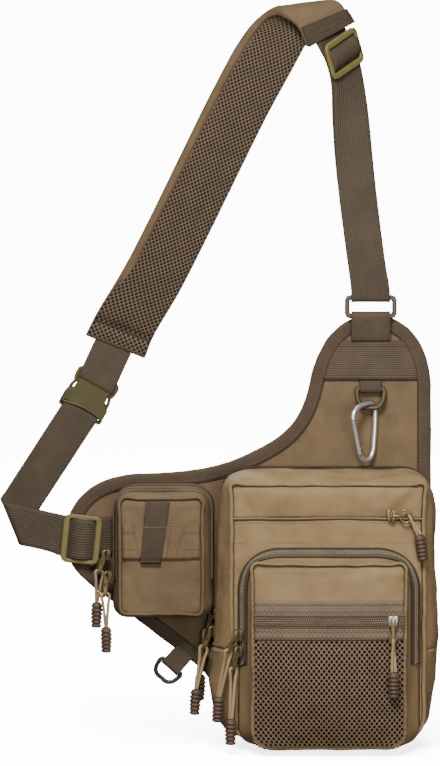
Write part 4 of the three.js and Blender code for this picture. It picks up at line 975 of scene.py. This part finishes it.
def outlineOf(left, right, top, bottom, high, low):
    points = [Vector(((left + right) / 2, bottom))]
    for x, z, radius, start in ((left + low, bottom + low, low, 270), (left + high, top - high, high, 180),
                                (right - high, top - high, high, 90), (right - low, bottom + low, low, 0)):
        for k in range(13):
            turn = math.radians(start - 90 * k / 12)
            points.append(Vector((x + radius * math.cos(turn), z + radius * math.sin(turn))))
    points.append(points[0].copy())
    around = zip(points[:1] + points, points[1:] + points[-1:])
    runs = [(after - before).normalized() for before, after in around]
    runs[0] = runs[-1] = Vector((-1, 0))
    lengths = runLengths(points)
    return {"left": left, "right": right, "top": top, "bottom": bottom, "topRadius": high, "bottomRadius": low,
            "points": points, "runs": runs, "lengths": lengths, "long": lengths[-1]}


def lineAt(line, share):
    reach = (share % 1) * line["long"]
    k = next(k for k, length in enumerate(line["lengths"]) if length > reach) - 1
    part = (reach - line["lengths"][k]) / (line["lengths"][k + 1] - line["lengths"][k])
    return line["points"][k].lerp(line["points"][k + 1], part), line["runs"][k].lerp(line["runs"][k + 1], part)


def spanAt(line, z):
    intoTop = line["topRadius"] - (line["top"] - z)
    intoBottom = line["bottomRadius"] - (z - line["bottom"])
    radius, into = (line["topRadius"], intoTop) if intoTop > 0 else (line["bottomRadius"], max(intoBottom, 0))
    corner = radius - math.sqrt(max(radius ** 2 - into ** 2, 0))
    return line["left"] + corner, line["right"] - corner


def shareAt(line, z):
    return next(k / 800 for k in range(400) if lineAt(line, k / 800)[0].y >= z)


# Height, and how far the cloth swells there on the left and on the right
mainSwell = [(-434, 3, 2), (-470, 9, 9), (-530, 8.5, 8.5), (-585, 11, 11.5), (-633, 20, 9), (-655, 16, 5),
             (-689, 2, 1)]


def mainSwellAt(flat):
    side = min(max((flat.x + 72) / 193, 0), 1)
    z = min(max(flat.y, mainSwell[-1][0]), mainSwell[0][0])
    for a, b in zip(mainSwell, mainSwell[1:]):
        if z >= b[0]:
            part = (a[0] - z) / (a[0] - b[0])
            return lerp(lerp(a[1], b[1], part), lerp(a[2], b[2], part), side)
    return 0


pouches = {
    "main": {"back": outlineOf(-72, 121, -434, -689, 24, 25),
             "front": outlineOf(-65.6, 117.8, -441, -687, 4.5, 22),
             "yBack": -1.8, "depth": 55, "swell": mainSwellAt},
    "pocket": {"back": outlineOf(-59, 113.5, -502.5, -691, 40, 16),
               "front": outlineOf(-45.5, 99.5, -512.6, -690, 7, 18),
               "yBack": -58.9, "depth": 31, "swell": lambda flat: lerp(1, -3.2, smoothstep(flat.y, -691, -640))},
    "small": {"back": outlineOf(-177, -81.5, -449, -572, 22, 12),
              "front": outlineOf(-171.5, -92, -457, -569, 9, 6),
              "yBack": -1.8, "depth": 39, "swell": lambda flat: lerp(4, 2, smoothstep(flat.y, -572, -550))},
}


def gussetFlat(pouch, share, across):
    a, runA = lineAt(pouch["back"], share)
    b, runB = lineAt(pouch["front"], share)
    flat, run = a.lerp(b, across), runA.lerp(runB, across).normalized()
    return flat, Vector((-run.y, run.x))


def gussetPoint(pouch, share, across, lift):
    flat, out = gussetFlat(pouch, share, across)
    flat = flat + out * (lift + pouch["swell"](flat) * math.sin(math.pi * across))
    return Vector((flat.x, pouch["yBack"] - pouch["depth"] * across, flat.y))


def outOf(pouch):
    line = pouch["back"]
    x, z = (line["left"] + line["right"]) / 2, (line["top"] + line["bottom"]) / 2
    return lambda point: Vector((point.x - x, 0, point.z - z))


def gussetPiece(name, pouch, node, start=0.0, end=1.0, look="canvas", folds=1.0):
    long = (end - start) * pouch["back"]["long"]

    def surface(u, v):
        share = lerp(start, end, u)
        point = gussetPoint(pouch, share, v, 0)
        out = gussetFlat(pouch, share, v)[1]
        soft = Vector((point.x / 34, point.y / 15, point.z / 60))    # folds run along the seams
        crease = (wrinkle(point, 1.6, 0.9) + 3.2 * noise.noise(soft)) * folds * math.sin(math.pi * v)
        return point + Vector((out.x, 0, out.y)) * crease

    bm = clothGrid(round(long / 4), round(pouch["depth"] / 3.5), surface, flatMap(long, pouch["depth"]),
                   outOf(pouch), end - start > 0.999)
    return meshPiece(name, bm, look, node, thick=cloth["canvas"])


# Zip round a gusset: tape between two depths, coil along its middle, dark lines of painted shade at its edges
# where the seams meet
def zipPiece(name, pouch, start, near, far, lift=0.3, taut=False, seam=0.8, coil="coil"):
    end = 1 - start
    long, wide = (end - start) * pouch["back"]["long"], (far - near) * pouch["depth"]
    count = round(long / 4)

    def spot(k, v, rise):
        share = lerp(start, end, k / count)
        a, b = gussetPoint(pouch, share, near, lift), gussetPoint(pouch, share, far, lift)
        point = a.lerp(b, v) if taut else gussetPoint(pouch, share, lerp(near, far, v), lift)
        out = gussetFlat(pouch, share, near)[1]
        away, side = Vector((out.x, 0, out.y)), (b - a).normalized()
        return point + (away - side * away.dot(side)).normalized() * rise

    def along(v, rise, step=1):
        return [spot(k, v, rise) for k in range(0, count + 1, step)]

    bm = clothGrid(count, 8, lambda u, v: spot(round(u * count), v, 0.3 * math.sin(math.pi * v)),
                   flatMap(long, wide, True), outOf(pouch))
    meshPiece(name + "_tape", bm, "zipTape", name, thick=0.8)
    coilPiece(name + "_coil", along(0.35, 1.1), along(0.65, 1.1), coil)
    # dark lines of painted shade along the tape's edges
    for side, v in (("back", 0.02), ("front", 0.98)):
        ropePiece(f"{name}_seam_{side}", along(v, 0.3, 2), seam, "seamShadeLine", sides=2)


mainSeam, pocketStart, smallStart = (shareAt(pouches[key]["back"], z)
                                     for key, z in (("main", -603), ("pocket", -614), ("small", -540)))
gussetPiece("main_gusset_upper_cloth", pouches["main"], "main_gusset_upper", mainSeam, 1 - mainSeam)
gussetPiece("main_gusset_lower_cloth", pouches["main"], "main_gusset_lower", -mainSeam, mainSeam)
zipPiece("main_zip", pouches["main"], mainSeam, 0.03, 0.17, coil="threadDark")
gussetPiece("front_pocket_gusset_cloth", pouches["pocket"], "front_pocket_gusset", folds=0.3)
zipPiece("front_pocket_zip", pouches["pocket"], pocketStart, 0.05, 0.45, 0.8, True)
# the small pouch's cloths take the canvas look painted darker as painted shade
gussetPiece("small_gusset_cloth", pouches["small"], "small_gusset", look="canvasPaintedShade", folds=0.5)
zipPiece("small_zip", pouches["small"], smallStart, 0.3, 0.7, 0.1, seam=0.5, coil="threadTaupe")
print("pouch sides made")


def crownAt(x, z, crown, size):
    a = 2 * (x - size["left"]) / (size["right"] - size["left"]) - 1
    b = 2 * (z - size["bottom"]) / (size["top"] - size["bottom"]) - 1
    return crown * max(1 - a * a, 0) * max(1 - b * b, 0)


# Place on the front of a pouch; bulges swell it forward
def facePoint(y, bulges, x, z):
    return Vector((x, y - sum(crownAt(x, z, crown, size) for crown, size in bulges), z))


def foldAt(x, z, folds):
    spot, rise = Vector((x, z)), 0
    for a, b, width, height in folds:
        a, b = Vector(a), Vector(b)
        share = min(max((spot - a).dot(b - a) / (b - a).length_squared, 0), 1)
        away = (spot - a.lerp(b, share)).length / width
        rise += height * math.exp(-away * away)
    return rise


# Front cloth of a pouch between two heights; folds have two ends, a width and a height
def facePiece(name, line, node, y, top, bottom, bulges, look="canvas", thick=cloth["canvas"], span=None,
              coarse=0.9, fine=0.35, step=3, rolled=0, folds=(), lengthwise=False, topped=True):
    wide, high = line["right"] - line["left"], top - bottom

    def surface(u, v):
        z = lerp(bottom, top, v)
        left, right = span(z) if span else spanAt(line, z)
        x = lerp(left, right, u)
        point = facePoint(y - thick, bulges, x, z)
        edge = min(u, 1 - u) * (right - left)
        edge = min(edge, top - z if rolled and topped else edge)
        hold = smoothstep(edge, 0, 14) * 0.8 + 0.2
        dip = rolled * (1 - smoothstep(edge, 1.5, 6.5)) - foldAt(x, z, folds)
        pucker = 0.35 * math.sin(z / 1.9 + 3 * noise.noise(point / 20)) * (1 - smoothstep(edge, 2, 12))
        return point + front * (wrinkle(point, coarse, fine) * hold + pucker - dip)

    bm = clothGrid(round(wide / step), max(round(high / step), 4), surface, flatMap(wide, high, lengthwise))
    return meshPiece(name, bm, look, node, thick=thick)


mainFront, pocketFront, smallFront = (pouches[key]["front"] for key in ("main", "pocket", "small"))
flap = dict(mainFront, bottom=-474)
flapBulge, pocketBulge, smallBulge = [(4, flap)], [(3, pocketFront)], [(4, smallFront)]
facePiece("main_front_upper_cloth", mainFront, "main_front_upper", -57.1, -441, -474, flapBulge, coarse=1.6,
          rolled=2.4, folds=[((112, -445), (90, -470), 5, -1.6), ((104, -444), (78, -463), 6, 1.3),
                             ((-60, -446), (-44, -471), 5, -1.3), ((-20, -453), (44, -450), 7, 0.9)])
facePiece("main_front_lower_cloth", mainFront, "main_front_lower", -57.1, -474.3, -687, [], coarse=1.2,
          rolled=2.4, folds=[((-58, -486), (-50, -560), 4, -1.2), ((-64, -500), (-56, -640), 4, 1.2),
                             ((116, -490), (108, -600), 4, -1.2), ((40, -484), (96, -490), 4, 0.7)], topped=False)
facePiece("front_pocket_face_cloth", pocketFront, "front_pocket_face", -90.2, -512.6, -690, pocketBulge,
          coarse=1.3, rolled=2.2, folds=[((-38, -520), (20, -524), 4, -0.9), ((30, -530), (94, -522), 5, 0.9)])
facePiece("mesh_zip_band_webbing", pocketFront, "mesh_zip_band", -92.3, -547.6, -585, pocketBulge,
          "bandWebbing", cloth["webbing"], lambda z: (-43.4, 97.4), 0.4, 0.2, lengthwise=True)
facePiece("small_front_cloth", smallFront, "small_front", -41.1, -457, -569, smallBulge, "canvasPaintedShade",
          coarse=1.0, rolled=2.2, folds=[((-166, -524), (-150, -560), 5, -1), ((-98, -520), (-110, -562), 5, 1)])
facePiece("small_band_cloth", smallFront, "small_band", -43.2, -482, -515.4, smallBulge, "canvasPaintedShade",
          span=lambda z: (-168.2, -95.3), coarse=0.4)


def tabSpan(z):
    down = (-459 - z) / 60
    return lerp(-146, -151.5, down), lerp(-123.5, -132, down)


facePiece("small_tab_webbing", smallFront, "small_tab", -45.3, -459, -519, smallBulge, "tabWebbing",
          cloth["webbing"], tabSpan, 0.3, 0.15, 8)


def pocketNet():
    meshLine = outlineOf(-45.5, 99.5, -585.3, -690, 1, 12)
    width, height = 145, 104.7

    def place(x, y, out):
        z = meshLine["bottom"] + min(max(y, 0), height)
        left, right = spanAt(meshLine, z)
        point = facePoint(-92.3 - out, pocketBulge + [(8, meshLine)], lerp(left, right, x / width), z)
        return point + front * wrinkle(point, 0.8, 0.2)

    netPiece("mesh_pocket_net", width, height, lambda x, y: place(x, y, 1.2), "mesh_panel")
    # behind the pocket's net, a near-black sheet: partly backing, partly painted shade
    bm = clothGrid(36, 26, lambda u, v: place(u * width, v * height, -0.8), flatMap(width, height))
    meshPiece("mesh_pocket_lining", bm, "lining")


pocketNet()
print("pouch fronts made")


# Rolled seams round the pouch fronts, and their sewing

def rolledSeam(name, pouch, lift, y, radius, count, look):
    size, ears = pouch["front"], {"high": 2.2, "wide": 9}    # the cloth stands up at the top corners
    corners = [Vector((size[side], 0, size["top"])) for side in ("left", "right")]
    line = []
    for k in range(count):
        point = gussetPoint(pouch, k / count, 1, lift)
        near = min((Vector((point.x, 0, point.z)) - corner).length for corner in corners)
        point = gussetPoint(pouch, k / count, 1, lift + ears["high"] * math.exp(-(near / ears["wide"]) ** 2))
        sway = Vector((wrinkle(point, 0.8, 0.8), 0, wrinkle(point.zxy, 0.8, 0.8)))
        line.append(Vector((point.x, y, point.z)) + sway)
    return ropePiece(name, line, radius, look, closed=True)


# each seam tape rope is a dark line of painted shade just inside its rolled seam
for name, key, lift, y, radius, count, look in (
        ("main_front_seam", "main", -0.6, -58.6, 1.9, 200, "canvas"),
        ("main_seam_shade_line", "main", -2.7, -57.8, 0.5, 200, "seamShadeLine"),
        ("front_pocket_seam", "pocket", -0.6, -91.8, 1.5, 160, "canvas"),
        ("front_pocket_seam_shade_line", "pocket", -2.3, -91.3, 0.5, 160, "seamShadeLine"),
        ("small_front_seam", "small", -0.6, -42.6, 1.4, 120, "canvasPaintedShade"),
        ("small_seam_shade_line", "small", -2.2, -42.1, 0.5, 120, "seamShadeLine")):
    rolledSeam(name, pouches[key], lift, y, radius, count, look)


def faceLine(y, bulges, ends, count=60):
    (x1, z1), (x2, z2) = ends
    return [facePoint(y, bulges, lerp(x1, x2, k / count), lerp(z1, z2, k / count)) for k in range(count + 1)]


# Level line across a pouch's front, short of its sides by an inset
def levelLine(line, y, bulges, z, inset):
    left, right = spanAt(line, z)
    return faceLine(y, bulges, ((left + inset, z), (right - inset, z)))


def zigzag(line, width=1.2, pitch=2.1):
    return [point + up * (width if k % 2 else -width) for k, (point, run) in enumerate(stepped(line, pitch))]


def meshZip():
    size = {"middle": -567, "half": 5.4, "y": -94.3, "left": -44.5, "right": 98.5, "edge": 2.9, "steps": 60}

    def across(z, out):
        return faceLine(size["y"] - out, pocketBulge, ((size["left"], z), (size["right"], z)), size["steps"])

    def strip(name, look, middle, half, out, rows):
        lines = [across(lerp(middle - half, middle + half, k / rows), out) for k in range(rows + 1)]
        bm = clothGrid(size["steps"], rows, lambda u, v: lines[round(v * rows)][round(u * size["steps"])],
                       flatMap(size["right"] - size["left"], 2 * half, True))
        meshPiece(name, bm, look, thick=0.4)

    # the zip's middle strip takes the near-black lining look: painted shade in the gap round the coil
    strip("mesh_zip_tape", "lining", size["middle"], size["half"], 0.2, 6)
    for name, side in (("lower", -1), ("upper", 1)):
        fold = across(size["middle"] + side * size["half"], 0.1)[::4]
        ropePiece(f"mesh_zip_fold_{name}", fold, 0.9, "bandWebbing")
        strip(f"mesh_zip_edge_{name}", "zipTape", size["middle"] + side * size["edge"], 1.3, 0.7, 3)
    coilPiece("mesh_zip_coil", across(size["middle"] - 1, 1.2), across(size["middle"] + 1, 1.2), tooth=2.1,
              offset=0.95)
    rows = [zigzag(across(z, 0.25)) for z in (-551, -558, -576.5, -582.5)]
    stitchPiece("mesh_band_stitches", rows, "threadDark", 2.6, 2.1, 0.6)


meshZip()


def slitSeam():
    y = -58.9
    fold = levelLine(mainFront, y, flapBulge, flap["bottom"], 2)[::3]
    ropePiece("slit_fold", [point + up * wrinkle(point, 0.7, 0.4) for point in fold], 0.9, "canvas")
    shade = [point - up * (1.3 - wrinkle(point, 0.7, 0.4)) - front * 0.2 for point in fold]
    ropePiece("slit_shadow", shade, 0.8, "seamShadeLine")
    stitchPiece("main_front_stitches", [levelLine(mainFront, y, [], z, 4) for z in (-478, -497)])


slitSeam()


def smallStitches():
    left, right = spanAt(smallFront, -500)
    level = [levelLine(smallFront, -45, smallBulge, z, 3) for z in (-483.2, -514.2)]
    slants = [((-158, -484), (-152.5, -514)), ((-109.8, -484), (-118.2, -514)), ((-122.2, -484), (-126.6, -514))]
    short = [((left + 2, z), (-157, z)) for z in (-490, -506)]
    short += [((-112, z), (right - 2, z)) for z in (-490, -506)]
    rows = level + [faceLine(-45, smallBulge, ends, 20) for ends in slants + short]
    stitchPiece("small_band_stitches", rows, "threadDark", 2.4, 1.8, 0.6)
    tab = [((-151, -516.5), (-132.5, -516.5)), ((-148, -484), (-127.5, -484))]
    rows = [faceLine(-47.2, smallBulge, ends, 12) for ends in tab]
    stitchPiece("small_tab_stitches", rows, "thread", 2.2, 1.7, 0.6)


smallStitches()
rows = [[gussetPoint(pouches["main"], share + offset, k / 24, 0.4) for k in range(1, 24)]
        for share in (mainSeam, 1 - mainSeam) for offset in (-0.003, 0.003)]
stitchPiece("main_gusset_stitches", rows)
print("seams made")


# Sewn tabs, rings and the clip

def topBand():
    size = {"top": -312, "bottom": -350, "y": -2.1, "wide": 100}
    inner = rimLine(10.8, 0)

    def spanOf(z):
        pairs = [(a, b) for a, b in zip(inner, inner[1:]) if (a.z - z) * (b.z - z) < 0]
        hits = [lerp(a.x, b.x, (z - a.z) / (b.z - a.z)) for a, b in pairs]
        return min(hits), max(hits)

    def surface(u, v):
        z = lerp(size["bottom"], size["top"], v)
        point = Vector((lerp(*spanOf(z), u), size["y"], z))
        return point + front * wrinkle(point, 0.3, 0.2)

    bm = clothGrid(30, 14, surface, flatMap(size["wide"], size["top"] - size["bottom"], True))
    meshPiece("top_band_webbing", bm, "tabWebbing", "top_webbing_band", thick=1.7)
    rows = []
    for z in (-314, -317.5, -345, -348.4):
        left, right = spanOf(z)
        rows.append([Vector((left + 1, -2.4, z)), Vector((right - 1, -2.4, z))])
    stitchPiece("top_band_stitches", rows, "threadDark", 3.0, 2.2, 0.65)


topBand()


def ringTab(name, node, wire, length, width, centre, across, along):
    radius = wire * 0.66 + 1.2
    points = [(-length, -radius)] + bend(radius, -90, 90) + [(-length, min(radius, -radius + 2.1))]
    ribbonPiece(name, route(points, centre, across, along, front, width), node)


def ringLoop():
    points = [(-23.4, -5.6), (-19.9, -3.8)] + bend(ring["turn"], -90, 90) + [(-19.9, -1.7), (-23.4, -3.5)]
    stations = route(points, ring["centre"] - up * ring["away"], right, up, front, cloth["strapWidth"])
    ribbonPiece("ring_loop", stations, "ring_loop_webbing", "tabWebbing")


def padFoot():
    bar = buckle["centre"] + buckleUp * buckle["highBar"]
    left, right, facing, puff = padStations[0]
    across = (right - left).normalized()
    start = left.lerp(right, 0.47) + across.cross(front).normalized() * 0.6
    first, last = (station(start + front * out, across, strap["half"], front * -math.copysign(1, out))
                   for out in (1.2, -1.2))
    turn = route(bend(buckle["turn"], 90, 270), bar, buckleAcross, buckleUp, front, cloth["strapWidth"])
    ribbonPiece("pad_foot_webbing", [first] + turn + [last], "pad_lower_webbing")


topRing = {"bar": Vector((67, -4.6, -358)), "wire": 3.2, "inner": 22, "drop": 18, "tilt": 14}
lowRing = {"bar": Vector((-122, -6, -624.6)), "wire": 3, "inner": 21, "drop": 15, "angle": -42}
stout = {"ring": 0.74, "clip": 0.62, "gate": 0.53}     # radius to the solid's wire, stouter as seen


def dRing(name, node, size, across, upward, look, body):
    half, drop = size["inner"] / 2 + size["wire"] / 2, size["drop"]
    bow = [(half - 1.2, 0), (half, -1.2), (half, -drop * 0.38), (half * 0.84, -drop * 0.76),
           (half * 0.5, -drop * 0.98), (0, -drop)]
    outline = [(0, 0), (half * 0.6, 0)] + bow + [(-x, y) for x, y in bow[-2::-1]] + [(-half * 0.6, 0)]
    points = [size["bar"] + across * x + upward * y for x, y in outline]
    ropePiece(name, points, size["wire"] * stout["ring"], look, node, body, closed=True, sides=4)


topTilt, lowAngle = math.radians(topRing["tilt"]), lowRing["angle"]
topUp = Vector((0, math.sin(topTilt), math.cos(topTilt)))
dRing("top_d_ring", "d_ring_top", topRing, right, topUp, "oliveDark", "upper_ring")
dRing("lower_d_ring", "d_ring_lower", lowRing, rightOf(lowAngle), rightOf(lowAngle + 90), "darkMetal",
      "lower_ring")
ringTab("top_ring_tab", "d_ring_tab_top", topRing["wire"], 7.4, 21, topRing["bar"], right, -up)
ringTab("lower_ring_tab", "d_ring_tab_lower", lowRing["wire"], 19, 20, lowRing["bar"], rightOf(lowAngle),
        rightOf(lowAngle - 90))
ringLoop()
padFoot()

clip = {"wire": 4, "turn": 45, "foot": (-15, -43.2), "nose": (-24, -9.1),
        "line": ((-13.8, -45.2), (-10.9, -48.2), (-5.3, -50), (0, -47.6), (3.1, -42), (4.3, -34), (6.1, -10),
                 (6.1, -2.5), (4.9, 2.9), (0.8, 4.5), (-6, 4.6), (-14, 3.4), (-21, -0.6), (-24, -6.5),
                 (-24.1, -8.6))}


def clipPieces():
    across = Vector((math.cos(math.radians(clip["turn"])), math.sin(math.radians(clip["turn"])), 0))
    hang = topRing["bar"] - topUp * topRing["drop"]
    through = across.cross(up)

    def place(x, y):
        return hang + across * x + up * y

    ropePiece("clip_wire", [place(*point) for point in clip["line"]], clip["wire"] * stout["clip"], "aluminium",
              "carabiner_body", "clip", sides=5)
    foot, nose = place(*clip["foot"]), place(*clip["nose"])
    gate = [foot.lerp(nose, share) for share in (0, 0.1, 0.5, 0.9, 1)]
    ropePiece("clip_gate_wire", gate, clip["wire"] * stout["gate"], "aluminium", "carabiner_gate", "clip_gate",
              sides=5)
    for name, share, half, radius in (("clip_hinge_pin", 0.05, 2.3, 0.7), ("clip_nose_pin", 0.93, 2.2, 0.6)):
        pin = foot.lerp(nose, share)
        ropePiece(name, [pin - through * half, pin + through * half], radius, "aluminium", body="clip_gate")


clipPieces()
print("rings made")


# Floor and light

def stagePiece(name, bm, look):
    mesh = bpy.data.meshes.new(name)
    bm.to_mesh(mesh)
    bm.free()
    mesh.shade_smooth()
    mesh.materials.append(look)
    piece = bpy.data.objects.new(name, mesh)
    piece.visible_diffuse = piece.visible_glossy = piece.visible_shadow = False    # its glow stays off the bag
    bpy.context.scene.collection.objects.link(piece)
    return piece


def addLamp(name, kind, power, toward):
    data = bpy.data.lights.new(name, kind)
    data.energy = power
    lamp = bpy.data.objects.new(name, data)
    lamp.rotation_euler = toward.to_track_quat("-Z", "Y").to_euler()
    bpy.context.scene.collection.objects.link(lamp)
    return lamp


def stageSet():
    room = {"floor": -697, "radius": 20700}
    look, tree, shader = newLook("opal_acrylic_white", 0.9)    # sheets lit from behind, white to the eye
    look.cycles.emission_sampling = "NONE"
    shader.inputs["Base Color"].default_value = linear("#F7F6F4")
    shader.inputs["Emission Color"].default_value = linear("#FFFFFF")
    shader.inputs["Emission Strength"].default_value = 4
    centre = Matrix.Translation((0, 0, room["floor"] * mm))
    bm = bmesh.new()
    bmesh.ops.create_circle(bm, cap_ends=True, segments=96, radius=room["radius"] * mm, matrix=centre)
    floor = stagePiece("studio_floor", bm, look)
    bm = bmesh.new()
    bmesh.ops.create_uvsphere(bm, u_segments=96, v_segments=48, radius=room["radius"] * mm, matrix=centre)
    cutPlane(bm, centre.translation, (0, 0, -1), 0, True)
    bmesh.ops.reverse_faces(bm, faces=bm.faces)
    stagePiece("studio_dome", bm, look)
    world = bpy.context.scene.world or bpy.data.worlds.new("studio")
    bpy.context.scene.world = world
    world.use_nodes = True
    sky = world.node_tree.nodes["Background"]
    sky.inputs["Color"].default_value = (1, 1, 1, 1)
    sky.inputs["Strength"].default_value = 0.3
    aim = Vector((10, 0, -520))
    softboxes = [((-160, -1250, 620), 420, 54), ((350, -1300, -350), 500, 12), ((0, 400, 1600), 1000, 22),
                 ((-200, 1500, 300), 600, 26)]
    for k, (spot, size, power) in enumerate(softboxes, 1):
        lamp = addLamp(f"softbox_{k}", "AREA", power, aim - Vector(spot))
        lamp.data.size = size * mm
        lamp.location = Vector(spot) * mm
        lamp.visible_camera = False
    lamp = addLamp("floor_light", "SUN", 30, Vector((0.15, 0.3, -1)))    # on the floor alone
    lamp.data.angle = math.radians(50)
    lit = bpy.data.collections.new("lit_floor")
    lit.objects.link(floor)
    lamp.light_linking.receiver_collection = lit


stageSet()
print("scene made")
